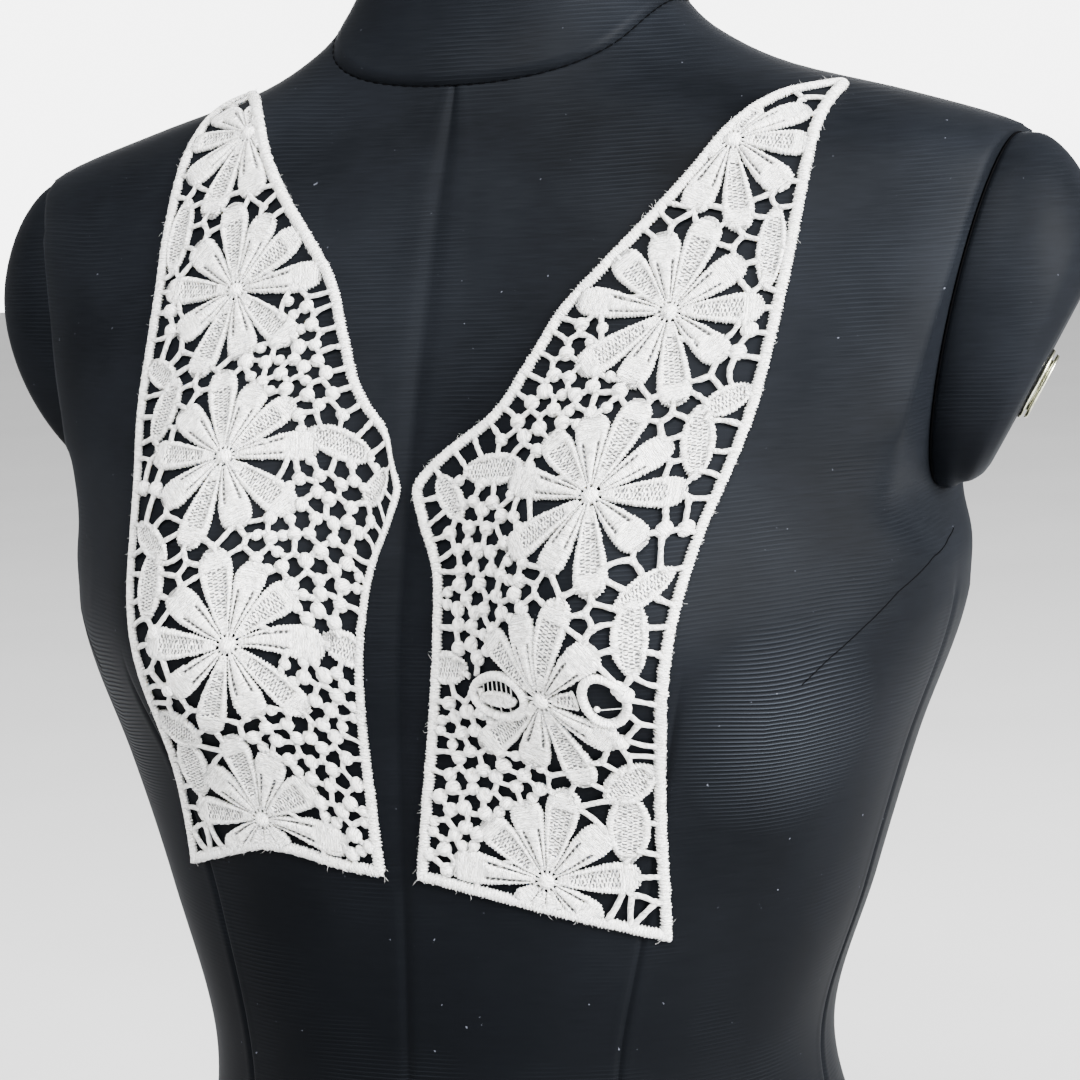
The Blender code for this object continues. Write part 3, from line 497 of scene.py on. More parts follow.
def seamDip(degrees, height):
    # How far the surface sinks at the seams, with a small swell beside each
    sink = np.zeros(np.broadcast(degrees, height).shape)
    for middle, top in torsoSeams.values():
        fade = np.clip((top - height) / 0.02, 0, 1)
        away = (np.abs(degrees) - middle) / torsoLooks["grooveWidth"]
        sink = sink + fade * torsoLooks["grooveDepth"] * np.exp(-away ** 2)
        swell = np.exp(-((np.abs(away) - 3.0) / 1.3) ** 2)
        sink = sink - fade * torsoLooks["swellRise"] * swell
    return sink


def torsoColumns():
    # Columns in degrees from the front centre, closer beside each seam
    half = set(np.arange(0, 180.01, torsoLooks["columnStep"]).tolist())
    for middle, _ in torsoSeams.values():
        half = {d for d in half if abs(d - middle) > torsoLooks["seamClear"]}
        half |= {middle + d for d in torsoLooks["besideSeam"] if 0 <= middle + d <= 180}
    half = np.array(sorted(half))
    return np.concatenate([-half[::-1][:-1], half])


def makeTorso():
    looks = torsoLooks
    degrees = torsoColumns()
    angle = np.radians(degrees - 90)
    heights = []
    low = formSizes["floor"]
    for high, step in looks["rowSteps"]:
        heights += np.arange(low, high, step).tolist()
        low = high
    height = np.array([*heights, formSizes["neckSeam"]])[:, None]
    z = seamHeight(height, angle[None, :])
    places = formPoint(z, np.broadcast_to(angle[None, :], z.shape))
    places = places - levelOut(places, looks["middleY"]) * seamDip(degrees[None, :], height)[..., None]
    bm = closedRows(places)
    nearX, farX, lowZ, highZ = looks["ledge"]
    ledge = [v for v in bm.verts if nearX < abs(v.co.x) < farX and lowZ < v.co.z < highZ]
    for _ in range(looks["ledgeSmooth"]):
        bmesh.ops.smooth_vert(bm, verts=ledge, factor=0.5, use_axis_x=True, use_axis_y=True, use_axis_z=True)
    torso = newObject("torso_cloth", bm, blackCloth)
    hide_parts("form_torso")
    return torso


def makeNeck():
    # From the dipping seam up to a level top with a rounded edge
    sizes = formSizes
    angle = np.radians(np.arange(0, 360.1, 1.8))
    level = sizes["neckTop"] - sizes["neckEdge"]
    rows = []
    for share in np.linspace(0, 1, 16):
        z = sizes["neckSeam"] + (level - sizes["neckSeam"]) * share
        z = z - (1 - share) * neckDipAt(angle) + sizes["gap"]
        ring = formPoint(z, angle)
        roll = 0.0006 * math.exp(-(share * 9) ** 2) - 0.0005 * math.exp(-(share * 60) ** 2)
        rows.append(ring + levelOut(ring, ring[:, 1].mean()) * roll)
    top = rows[-1]
    out = levelOut(top, top[:, 1].mean())
    for turn in np.radians([15, 30, 45, 60, 75, 90]):
        ring = top - out * sizes["neckEdge"] * (1 - math.cos(turn))
        ring[:, 2] = top[:, 2] + sizes["neckEdge"] * math.sin(turn)
        rows.append(ring)
    centre = ring.mean(axis=0)
    rows += [centre + (ring - centre) * share for share in (0.7, 0.35)]
    bm = closedRows(rows)
    neck = newObject("neck_cloth", bm, blackCloth)
    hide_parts("form_neck")


# Arm caps: ring number, distance out, drop, tilt in degrees, half height, half depth
capRings = np.array([
    (0, 0.0003, 0.000, 14.5, 0.0645, 0.0410),
    (1, 0.0075, 0.001, 17.0, 0.0645, 0.0418),
    (2, 0.0140, 0.005, 21.5, 0.0600, 0.0405),
    (3, 0.0195, 0.012, 26.0, 0.0530, 0.0370),
    (4, 0.0220, 0.018, 29.0, 0.0450, 0.0320),
    (5, 0.0228, 0.020, 30.0, 0.0395, 0.0275),
])
capSizes = {"height": 0.451, "middleY": 0.028, "turnBack": 11.0, "tuck": 0.0005}
plateLooks = {"layers": [(0.0135, 0.0090, 0.0012), (0.0100, 0.0062, 0.0008), (0.0125, 0.0082, 0.0012)],
              "edge": 0.0004, "seat": 0.0003, "down": 0.0065}


def capFrame(ring, side):
    # Middle, outward, upward and backward directions of a ring of an arm cap
    out, drop, tilt = (float(easedColumn(capRings, k, ring)) for k in (1, 2, 3))
    tilt = math.radians(tilt)
    turn = math.radians(capSizes["turnBack"]) * min(ring / 3, 1)
    x = side * (sidePlane(capSizes["height"]) + out)
    middle = np.array([x, capSizes["middleY"], capSizes["height"] - drop])
    outward = np.array([side * math.cos(tilt) * math.cos(turn), math.sin(turn), -math.sin(tilt)])
    outward /= np.linalg.norm(outward)
    back = np.array([-side * math.sin(turn), math.cos(turn), 0])
    upward = np.cross(outward, back) * side
    return middle, outward, upward, back


def ovalRing(middle, upward, back, high, deep, turn):
    return middle + high * np.cos(turn)[:, None] * upward + deep * np.sin(turn)[:, None] * back


def makeCaps():
    turn = np.radians(np.arange(0, 360.1, 3.6))
    for side, word in ((1, "left"), (-1, "right")):
        rows = []
        for ring in np.linspace(0, 5, 22):
            middle, outward, upward, back = capFrame(ring, side)
            high = float(easedColumn(capRings, 4, ring))
            deep = float(easedColumn(capRings, 5, ring))
            tuck = capSizes["tuck"] * math.exp(-(ring / 0.12) ** 2)
            rows.append(ovalRing(middle, upward, back, high - tuck, deep - tuck, turn))
        centre = rows[-1].mean(axis=0)
        for share in (0.8, 0.5, 0.25):
            rows.append(centre + (rows[-1] - centre) * share)
        bm = closedRows(rows)
        bmesh.ops.recalc_face_normals(bm, faces=bm.faces)
        cap = newObject("arm_cap_" + word, bm, blackCloth)
        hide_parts("form_arm_cap_" + word)


def makePlates():
    for side, word in ((1, "left"), (-1, "right")):
        middle, outward, upward, back = capFrame(5, side)
        middle = middle - upward * plateLooks["down"]
        seat = plateLooks["seat"]
        bm = bmesh.new()
        across = np.cross(upward, outward)
        turned = Matrix((Vector(upward), Vector(across), Vector(outward))).transposed().to_4x4()
        for high, deep, thick in plateLooks["layers"]:
            disc = bmesh.ops.create_circle(bm, cap_ends=True, segments=72, radius=1.0)["verts"]
            bmesh.ops.scale(bm, vec=(high, deep, 1), verts=disc)
            face = [f for f in disc[0].link_faces]
            raised = bmesh.ops.extrude_face_region(bm, geom=face)["geom"]
            tops = [v for v in raised if isinstance(v, bmesh.types.BMVert)]
            bmesh.ops.translate(bm, vec=(0, 0, thick), verts=tops)
            rims = [e for e in bm.edges if e.verts[0] in tops and e.verts[1] in tops]
            edged = bmesh.ops.bevel(bm, geom=rims, offset=plateLooks["edge"], affect="EDGES", segments=3,
                                    profile=0.5, material=-1, clamp_overlap=True)
            every = set(disc) | {v for v in tops if v.is_valid} | {v for v in edged["verts"] if v.is_valid}
            place = Matrix.Translation(Vector(middle + outward * seat)) @ turned
            bmesh.ops.transform(bm, matrix=place, verts=[v for v in every if v.is_valid])
            seat += thick
        bmesh.ops.recalc_face_normals(bm, faces=bm.faces)
        plate = newObject("arm_plate_" + word, bm, plateMetal)
        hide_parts("form_arm_plate_" + word)


# Stitches along the neck seam, and dark cords in the armhole seams and darts: stitching, with painted shade of
# the armhole gaps and the darts' folds
stitchLooks = {"pitch": 0.0044, "length": 0.0034, "radius": 0.00036, "sunk": 0.0001, "armholeRadius": 0.00038,
               "armholeOut": 0.0004, "armholeTuck": 0.0002, "dartRadius": 0.00030, "dartSunk": 0.00012}
# Bust darts: height, and the form's angle in degrees
dartPlaces = [(0.377, 4.0), (0.370, -10.0), (0.361, -20.4), (0.351, -27.5), (0.341, -33.4), (0.333, -37.0)]


def surfaceNormals(z, angle):
    small = 0.001
    over = formPoint(z, angle + small) - formPoint(z, angle - small)
    rise = formPoint(z + small, angle) - formPoint(z - small, angle)
    normal = np.cross(over, rise)
    return normal / np.linalg.norm(normal, axis=-1, keepdims=True)


def roundCord(pile, path, normal, radius, ends=True):
    # Thin round cord through these points of a surface with these normals, its ends rounded off
    along = np.gradient(path, axis=0)
    along /= np.linalg.norm(along, axis=1)[:, None]
    left = np.cross(normal, along)
    up = np.cross(along, left)
    size = np.full(len(path), radius)
    if ends:
        place = np.arange(len(path))
        near = np.clip(np.minimum(place, place[::-1]) / 1.5, 0, 1)
        size = radius * np.sqrt(1 - (1 - near) ** 2)
    sweep(pile, path, left, *roundSection(size, 6), up, 0.001, 1e-7)


def makeSeams(torso):
    looks = stitchLooks
    pile = Pile()
    # Neck stitches, one by one
    fine = np.linspace(0, 2 * math.pi, 1441)
    z = formSizes["neckSeam"] - neckDipAt(fine) + formSizes["gap"] / 2
    ring = formPoint(z, fine)
    run = np.concatenate([[0], np.cumsum(np.linalg.norm(np.diff(ring, axis=0), axis=1))])
    count = int(run[-1] / looks["pitch"])
    for k in range(count):
        start = k * run[-1] / count
        angle = np.interp(np.linspace(start, start + looks["length"], 6), run, fine)
        z = formSizes["neckSeam"] - neckDipAt(angle) + formSizes["gap"] / 2
        normal = surfaceNormals(z, angle)
        roundCord(pile, formPoint(z, angle) - normal * looks["sunk"], normal, looks["radius"])
    turn = np.radians(np.arange(0, 360.1, 2.0))
    places = np.array(dartPlaces)
    share = np.linspace(0, 1, 60)
    dartZ, dartAngle = (np.interp(share, np.linspace(0, 1, len(places)), places[:, k]) for k in (0, 1))
    for side in (1, -1):
        # A dark line in the armhole seam, at the cap's edge: stitching with painted shade of the gap
        middle, outward, upward, back = capFrame(0, side)
        high, deep = capRings[0, 4:] - looks["armholeTuck"]
        path = ovalRing(middle + outward * looks["armholeOut"], upward, back, high, deep, turn)
        roundCord(pile, path, np.broadcast_to(outward, path.shape), looks["armholeRadius"], False)
        # The bust dart: a dark cord that paints the shade of its fold
        angle = np.radians(dartAngle)
        if side < 0:
            angle = math.pi - angle
        found = [torso.closest_point_on_mesh(Vector(p)) for p in formPoint(dartZ, angle).tolist()]
        path, normal = (np.array([tuple(f[k]) for f in found]) for k in (1, 2))
        roundCord(pile, path - normal * looks["dartSunk"], normal, looks["dartRadius"])
    seams = newObject("seam_thread_and_shade", pile.mesh("seam_thread_and_shade"), darkThreadAndShade)


torso = makeTorso()
makeNeck()
makeCaps()
makePlates()
makeSeams(torso)
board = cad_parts["form_base"]
board.data.materials.clear()
board.data.materials.append(boardFinish)
print("form made")

# Lace in the flat, in millimetres: height, inner edge and outer edge from the middle line
panelEdges = np.array([
    (30, 6.0, 94.5), (60, 9.5, 95.5), (90, 13.5, 102.5), (118, 16.0, 112.0), (143, 14.0, 117.0),
    (163, 5.5, 120.5), (174, 3.0, 123.0), (187, 13.5, 125.5), (201, 31.0, 127.5), (222, 43.5, 129.5),
    (244, 54.5, 131.5), (260, 67.5, 133.0), (275, 80.5, 134.0), (292, 93.0, 135.0), (312, 104.5, 136.0),
    (332, 117.5, 137.0), (345, 127.5, 137.5), (353, 132.0, 137.0),
])
panelSizes = {"bottomSlope": 23.0, "border": 2.9, "petalHalf": 6.9, "button": 3.4, "ball": 3.1,
              "openPitch": 8.2, "beadPitch": 6.5, "tip": [(133.3, 355.0), (135.7, 355.0)]}
# Flowers: distance from the middle line, height
flowerPlaces = [(107, 304), (93, 239), (78, 172), (64, 102), (53, 31)]
# Petals of a flower: direction in degrees, length, and 1 for a ladder-filled petal
petalKinds = [
    (170, 34.0, 0), (133, 30.0, 1), (101, 30.0, 0), (73, 36.0, 1), (39, 29.5, 0),
    (1, 32.0, 1), (-41, 28.0, 0), (-79, 36.0, 1), (-112, 30.0, 0), (-144, 36.0, 1),
]
# Leaves: middle, direction, length, width
leafPlaces = [
    (125, 262, 89, 33, 9.5), (117, 205, 30, 19, 10.0), (110, 190, 98, 28, 11.0),
    (102, 139, 33, 23, 9.5), (98, 123, 87, 27, 12.0), (85, 67, 37, 23, 13.0),
    (82.5, 50, 84, 27, 14.0), (37, 181, 6, 27, 11.5), (19, 170, -57, 21, 9.5),
    (23, 110, 4, 18, 11.0),
]
ballPlaces = [(118, 223), (105, 159), (112.5, 159), (86, 85), (92, 106), (121, 231)]


def edgeCurve(column):
    up = np.linspace(panelEdges[0, 0], panelEdges[-1, 0], 130)
    return np.column_stack([easedColumn(panelEdges, column, up), up])


def panelOutline():
    low, innerLow, outerLow = panelEdges[0]
    inner = edgeCurve(1)
    outer = edgeCurve(2)
    pull = np.clip(1 - (outer[:, 1] - low) / 45, 0, 1) ** 1.5
    outer[:, 1] -= pull * panelSizes["bottomSlope"]
    across = np.linspace(outerLow, innerLow, 60)[1:-1]
    share = np.clip((across - innerLow) / (outerLow - innerLow), 0, 1)
    bottom = np.column_stack([across, low - panelSizes["bottomSlope"] * share ** 1.15])
    return np.vstack([inner, panelSizes["tip"], outer[::-1], bottom])


def distanceInside(loop, x, y):
    # Distance to a closed loop, positive inside it
    best = np.full(x.shape, 1e9)
    within = np.zeros(x.shape, bool)
    for (x0, y0), (x1, y1) in zip(loop, np.roll(loop, -1, axis=0)):
        dx = x1 - x0
        dy = y1 - y0
        t = np.clip(((x - x0) * dx + (y - y0) * dy) / (dx * dx + dy * dy + 1e-12), 0, 1)
        best = np.minimum(best, (x - x0 - t * dx) ** 2 + (y - y0 - t * dy) ** 2)
        if y1 != y0:
            within ^= ((y0 > y) != (y1 > y)) & (x < dx * (y - y0) / dy + x0)
    return np.where(within, 1, -1) * np.sqrt(best)


def turnedInto(x, y, middleX, middleY, degrees):
    c = math.cos(math.radians(degrees))
    s = math.sin(math.radians(degrees))
    return (x - middleX) * c + (y - middleY) * s, (y - middleY) * c - (x - middleX) * s


def padField(half, past, side):
    return np.where(past > 0, -np.hypot(past, side), (half - np.abs(side)) * 0.9)


def motifField(x, y):
    # Distance inside the nearest flower, leaf or ball
    field = np.full(x.shape, -50.0)
    for flowerX, flowerY in flowerPlaces:
        near = np.hypot(x - flowerX, y - flowerY) < 48
        one = panelSizes["button"] - np.hypot(x[near] - flowerX, y[near] - flowerY)
        for direction, length, _ in petalKinds:
            along, side = turnedInto(x[near], y[near], flowerX, flowerY, direction)
            t = np.clip(along / length, 0, 1)
            half = panelSizes["petalHalf"] * 1.2 * t ** 0.62 * np.clip(1 - t ** 2.6, 0, 1) ** 0.62
            one = np.maximum(one, padField(half, np.maximum(-along, along - length), side))
        field[near] = np.maximum(field[near], one)
    for leafX, leafY, direction, length, width in leafPlaces:
        along, side = turnedInto(x, y, leafX, leafY, direction)
        t = np.clip(np.abs(along) / (length / 2), 0, 1)
        half = width / 2 * (1 - t ** 1.9) ** 0.85
        field = np.maximum(field, padField(half, np.abs(along) - length / 2, side))
    for ballX, ballY in ballPlaces:
        field = np.maximum(field, panelSizes["ball"] - np.hypot(x - ballX, y - ballY))
    return field


def inBeadGround(x, y):
    depth = x - np.interp(y, panelEdges[:, 0], panelEdges[:, 1])
    return (y < 240) & (depth < 46) & (y < 162 + 90 * (depth > 12))


def placeGaps(rim, motif, x, y):
    # Middles of the gaps, spread evenly over the ground between the motifs
    random = np.random.default_rng(11)
    free = (rim > panelSizes["border"] + 0.3) & (motif < -0.3)
    x = x[free]
    y = y[free]
    room = np.clip(np.minimum(rim[free] - panelSizes["border"], -motif[free]), 0, 4)
    pitch = np.where(inBeadGround(x, y), panelSizes["beadPitch"], panelSizes["openPitch"])
    chosen = np.empty((0, 3))
    for k in np.argsort(random.random(len(x)) - 0.25 * room):
        least = 0.5 * (pitch[k] + chosen[:, 2])
        if not ((x[k] - chosen[:, 0]) ** 2 + (y[k] - chosen[:, 1]) ** 2 < least * least).any():
            chosen = np.vstack([chosen, (x[k], y[k], pitch[k])])
    middles = chosen[:, :2].copy()
    for _ in range(5):
        away = (x[:, None] - middles[None, :, 0]) ** 2 + (y[:, None] - middles[None, :, 1]) ** 2
        owner = away.argmin(axis=1)
        for k in range(len(middles)):
            own = owner == k
            if own.any():
                middles[k] = np.average(np.column_stack([x[own], y[own]]), axis=0, weights=1 + room[own])
    return middles


outline = panelOutline()
coarseX, coarseY = np.meshgrid(np.arange(3, 141, 1.2), np.arange(3, 358, 1.2))
coarseRim = distanceInside(outline, coarseX, coarseY)
coarseMotif = motifField(coarseX, coarseY)
gapMiddles = placeGaps(coarseRim, coarseMotif, coarseX, coarseY)
fineStep = 0.4
fineXs = np.arange(-4, 144, fineStep)
fineYs = np.arange(0, 362, fineStep)
fineX, fineY = np.meshgrid(fineXs, fineYs)
fineRim = distanceInside(outline, fineX, fineY)
fineMotif = motifField(fineX, fineY)


def readGrid(xs, ys, step, x, y, *tables):
    # Reads tables between the points of their grid
    column = np.clip((x - xs[0]) / step, 0, len(xs) - 1.001)
    row = np.clip((y - ys[0]) / step, 0, len(ys) - 1.001)
    j = column.astype(int)
    i = row.astype(int)
    found = []
    for table in tables:
        u, v = (share[:, None] if table.ndim > 2 else share for share in (column - j, row - i))
        low = table[i, j] * (1 - u) + table[i, j + 1] * u
        high = table[i + 1, j] * (1 - u) + table[i + 1, j + 1] * u
        found.append(low * (1 - v) + high * v)
    return found


def rimAt(x, y):
    return readGrid(fineXs, fineYs, fineStep, x, y, fineRim)[0]


def coverAt(x, y):
    return readGrid(fineXs, fineYs, fineStep, x, y, fineMotif)[0]


print("lace planned:", len(gapMiddles), "gaps between the bars")

# Bands of satin stitch and threads, sizes in millimetres
bandLooks = {"step": 0.62, "topPoints": 8, "underPoints": 2, "ridge": 0.05, "jag": 0.14, "ringRise": 2.6,
             "borderHalf": 1.9, "borderRise": 1.8, "borderJag": 0.46, "button": 3.0, "buttonRise": 2.9,
             "ballRise": 2.6, "thread": 0.22}
workshop = np.random.default_rng(5)


def spaced(loop, step):
    # A closed line with evenly spaced points, its first point again at its end
    path = np.vstack([loop, loop[:1]])
    run = np.concatenate([[0], np.cumsum(np.linalg.norm(np.diff(path, axis=0), axis=1))])
    count = max(int(round(run[-1] / step)), 3)
    where = np.linspace(0, run[-1], count + 1)
    return np.column_stack([np.interp(where, run, path[:, k]) for k in (0, 1)])


def leftOf(path):
    # Unit vectors to the left of a closed flat line
    along = np.vstack([path[1:], path[1:2]]) - np.vstack([path[-2:-1], path[:-1]])
    along /= np.linalg.norm(along, axis=1)[:, None] + 1e-12
    return np.column_stack([-along[:, 1], along[:, 0]])


def rimLine(step):
    # The panel's outline in even steps, and the unit vectors out of it
    path = spaced(outline, step)
    left = leftOf(path)
    return path, -left if distanceInside(outline, *(path[:1] + left[:1] * 0.5).T)[0] > 0 else left


def alternate(count):
    return np.where(np.arange(count) % 2, 1, -1)


def satinBand(pile, path, leftHalf, rightHalf, rise, jag):
    # A closed padded band of stitches: round on top, flat beneath, with uneven edges
    looks = bandLooks
    count = len(path)
    teeth = alternate(count)
    uneven = teeth * jag * (0.4 + 0.6 * workshop.random(count))
    uneven += workshop.normal(0, jag * 0.3, count)
    uneven[-1] = uneven[0]
    turn = np.concatenate([np.linspace(0, math.pi, looks["topPoints"] + 1),
                           np.linspace(math.pi, 2 * math.pi, looks["underPoints"] + 1)[1:]])
    c = np.cos(turn)
    wide = np.where(c[None, :] > 0, (rightHalf + uneven)[:, None], (leftHalf - uneven)[:, None])
    heights = np.full((count, 1), rise) * np.clip(np.sin(turn), 0, None) ** 0.75
    heights = heights * (1 + looks["ridge"] * teeth)[:, None]
    still = np.zeros(count)
    sweep(pile, np.column_stack([path, still]), np.column_stack([leftOf(path), still]),
          -np.clip(wide, 0, None) * c, heights)


def limitedHalves(path, halves):
    # Keeps the inside of a turn from folding over itself; a positive bend turns right
    left = leftOf(path)
    turn = left[:, 0] * np.roll(left[:, 1], -1) - left[:, 1] * np.roll(left[:, 0], -1)
    step = np.linalg.norm(np.roll(path, -1, axis=0) - path, axis=1)
    bend = -turn / np.maximum(step, 1e-6)
    bend = (np.roll(bend, 1) + bend + np.roll(bend, -1)) / 3
    return [np.minimum(halves, np.where(way > 1e-4, 0.85 / np.maximum(way, 1e-4), 99))
            for way in (-bend, bend)]


def threadRung(pile, start, end, radius, height):
    # One short thread between two places in the flat
    share = np.array([0, 0.02, 0.98, 1])[:, None]
    path = start + share * (np.array(end) - start)
    along = path[-1] - path[0]
    along /= np.linalg.norm(along) + 1e-9
    size = np.array([0, radius, radius, 0])
    sweep(pile, np.column_stack([path, np.full(4, height)]), (-along[1], along[0], 0), *roundSection(size, 5))


balls = {}


def dome(pile, x, y, radius, rise, segments, rings):
    # A padded ball of stitches, flat beneath; threads run one way across it
    if (segments, rings) not in balls:
        bm = bmesh.new()
        bmesh.ops.create_uvsphere(bm, u_segments=segments, v_segments=rings, radius=1.0)
        balls[segments, rings] = meshArrays(bm)
    ball, corners, sides, _ = balls[segments, rings]
    turn = workshop.random() * math.pi
    wobble = 1 + workshop.normal(0, 0.045, len(ball))
    flatX = ball[:, 0] * radius * wobble
    flatY = ball[:, 1] * radius * wobble
    height = rise * np.clip(ball[:, 2], 0, None) ** 0.85
    threads = np.column_stack([flatX * math.cos(turn) + flatY * math.sin(turn),
                               flatY * math.cos(turn) - flatX * math.sin(turn), 0 * flatX, 0 * flatX])
    pile.add(np.column_stack([x + flatX, y + flatY, height]), corners, sides, threads[corners])


def rotatedTo(points, middle, degrees):
    points = np.array(points)
    c = math.cos(math.radians(degrees))
    s = math.sin(math.radians(degrees))
    return np.column_stack([middle[0] + points[:, 0] * c - points[:, 1] * s,
                            middle[1] + points[:, 0] * s + points[:, 1] * c])


def reachOf(middle, direction, length):
    # How far a petal can go before it meets the border
    steps = np.arange(2.0, length + 0.1, 0.4)
    way = rotatedTo(np.column_stack([steps, np.zeros(len(steps))]), middle, direction)
    blocked = np.nonzero(rimAt(way[:, 0], way[:, 1]) < 1.9)[0]
    return float(steps[blocked[0]]) if len(blocked) else length


# Pads of stitches for petals and leaves: two slits beside a padded rib, or a sunken net in the middle
padLooks = {"step": 0.60, "start": 3.6, "shortest": 6.0, "plainBelow": 13.0, "band": 2.75, "slitHalf": 0.64,
            "rise": 1.75, "jag": 0.26, "tipJag": 0.56, "petalHalf": 7.65, "leafRise": 1.6,
            "slitFromTo": (0.14, 0.66), "netFromTo": (0.24, 0.80),
            "satin": (0.30, 0.74, 0.97, 1.00, 1.00, 1.00, 0.98, 0.95, 0.93, 0.92),
            "slit": (0.30, 0.74, 0.97, 0.98, 0.80, 0.12, 0.82, 1.12, 1.22, 1.25),
            "net": (0.30, 0.74, 0.97, 0.94, 0.74, 0.58, 0.52, 0.48, 0.46, 0.45),
            "slitOpen": (0, 0, 0, 0, 0, 1, 0, 0, 0, 0), "netOpen": (0, 0, 0, 0, 0, 0.6, 1, 1, 1, 1)}


def padSide(half, pattern, net, uneven):
    # Places, heights and openness across one half of a pad, from its edge to its middle
    looks = padLooks
    band = np.minimum(looks["band"], 0.46 * half)
    inner = half - band
    slit = np.minimum(looks["slitHalf"], 0.3 * np.minimum(inner, band))
    lateral = np.stack([half + uneven, half - 0.10 * band + 0.7 * uneven, half - 0.40 * band,
                        half - 0.72 * band, inner + slit, inner, inner - slit, 0.62 * inner, 0.30 * inner,
                        0 * half], 1)
    kind = "net" if net else "slit"
    satin, shape, opened = (np.array(looks[word]) for word in ("satin", kind, kind + "Open"))
    pattern = pattern[:, None]
    return np.clip(lateral, 0, None), satin + (shape - satin) * pattern, opened * pattern


def stitchedPad(pile, middle, direction, long, halvesAt, patternAt, net, riseAt):
    # One closed pad from long[0] to long[1]; functions of the place give its half widths, pattern and height
    looks = padLooks
    fine = np.linspace(long[0], long[1], 400)
    fineHalves = halvesAt(fine)
    edge = np.hypot(np.diff(fine), np.diff(0.5 * (fineHalves[0] + fineHalves[1])))
    run = np.concatenate([[0], np.cumsum(edge)])
    count = max(int(run[-1] / looks["step"]), 10)
    s = np.interp(np.linspace(0, run[-1], count), run, fine)
    halves = halvesAt(s)
    pattern = patternAt(s)
    turn = np.arctan2(np.gradient(0.5 * (halves[0] + halves[1])), np.gradient(s) + 1e-9)
    tip = np.abs(np.sin(turn))
    size = looks["jag"] + (looks["tipJag"] - looks["jag"]) * tip
    teeth = 0.8 * alternate(count)
    shift = np.zeros(count)
    sides = []
    for half in halves:
        uneven = size * (teeth + workshop.normal(0, 0.45, count)) * np.clip(half / 1.5, 0, 1)
        shift -= 0.5 * uneven * np.sin(turn)
        sides.append(padSide(half, pattern, net, uneven * np.cos(turn)))
    (left, leftHeights, leftOpen), (right, rightHeights, rightOpen) = sides
    lateral = np.hstack([left, -right[:, ::-1][:, 1:], -right[:, :1], 0 * right[:, :1], left[:, :1]])
    heights = np.hstack([leftHeights, rightHeights[:, ::-1][:, 1:], np.zeros((count, 3))])
    opened = np.hstack([leftOpen, rightOpen[:, ::-1][:, 1:], np.zeros((count, 3))])
    stitches = 1 + bandLooks["ridge"] * alternate(count)[:, None]
    heights = heights * riseAt(s)[:, None] * stitches * (1 + workshop.normal(0, 0.035, heights.shape))
    lateral[[0, -1]] = 0
    heights[[0, -1]] = 0.1
    close = [*range(lateral.shape[1]), 0]
    lateral, heights, opened = lateral[:, close], heights[:, close], opened[:, close]
    along = np.broadcast_to((s + shift)[:, None], lateral.shape)
    flat = rotatedTo(np.column_stack([along.ravel(), lateral.ravel()]), middle, direction)
    places = np.column_stack([flat, heights.ravel()]).reshape(*lateral.shape, 3)
    mapping = np.stack([along, lateral, opened, np.full(lateral.shape, float(net))], -1)
    bm = bmesh.new()
    gridSurface(bm, places.transpose(1, 0, 2), mapping.transpose(1, 0, 2), 1e-4)
    pile.add(*meshArrays(bm))


def petal(pile, middle, direction, length, net, leftGap, rightGap):
    # A petal is widest near its blunt end, and no wider than its neighbours leave room for
    looks = padLooks
    reach = reachOf(middle, direction, length)
    if reach < looks["shortest"]:
        return
    size = looks["petalHalf"] * min(1.0, 0.42 + 0.58 * reach / length) * (1 + workshop.normal(0, 0.03))
    first, last = looks["netFromTo" if net else "slitFromTo"]
    shown = 0.0 if reach < looks["plainBelow"] else 1.0

    def halvesAt(s):
        t = s / reach
        shape = size * t ** 0.8 * np.sqrt(np.clip(1 - t ** 7, 0, 1))
        return [np.minimum(shape, np.maximum(s * math.tan(math.radians(gap / 2)) - 0.10, 0.2))
                for gap in (leftGap, rightGap)]

    def patternAt(s):
        t = s / reach
        return shown * smoothStep((t - first) / 0.06) * smoothStep((last - t) / 0.06)

    def riseAt(s):
        t = s / reach
        rise = looks["rise"] * np.clip(0.55 + 0.06 * s, 0, 1)
        return rise * (1 - 0.40 * np.clip((t - 0.9) / 0.1, 0, 1) ** 2)

    stitchedPad(pile, middle, direction, (looks["start"], reach), halvesAt, patternAt, net, riseAt)


def closedBand(pile, middle, direction, along, across, long, wide, half):
    # A ring of satin stitch, a little higher than the petals beside it
    turn = np.linspace(0, 2 * math.pi, 80, endpoint=False)
    ring = np.column_stack([along + long * np.cos(turn),
                            across + wide * np.sin(turn) * (1 - 0.12 * np.cos(turn))])
    path = spaced(rotatedTo(ring, middle, direction), bandLooks["step"])
    left, right = limitedHalves(path, half)
    satinBand(pile, path, left, right, bandLooks["ringRise"], bandLooks["jag"])


# A ring round a padded rib, and a ring with a ball after a short net pad; a ring's numbers are its middle
# along and across the petal, its two radii and its half width
eyeLooks = {"ring": (18.2, 0.8, 11.3, 7.5, 1.6), "rib": (10.6, 25.6), "ribAcross": 1.8, "ribHalf": 2.7,
            "ribRise": 2.1, "threads": 7, "firstThread": 11.6, "threadPitch": 2.1}
ringLooks = {"pad": (3.6, 13.0), "padHalf": 3.9, "padRise": 1.2, "ring": (21.9, -0.6, 6.9, 8.7, 1.5),
             "knot": (18.4, -3.6), "knotSize": (1.1, 1.3), "threadEnd": (28.0, -3.3), "ball": (29.0, 1.6),
             "ballSize": (3.3, 2.8)}


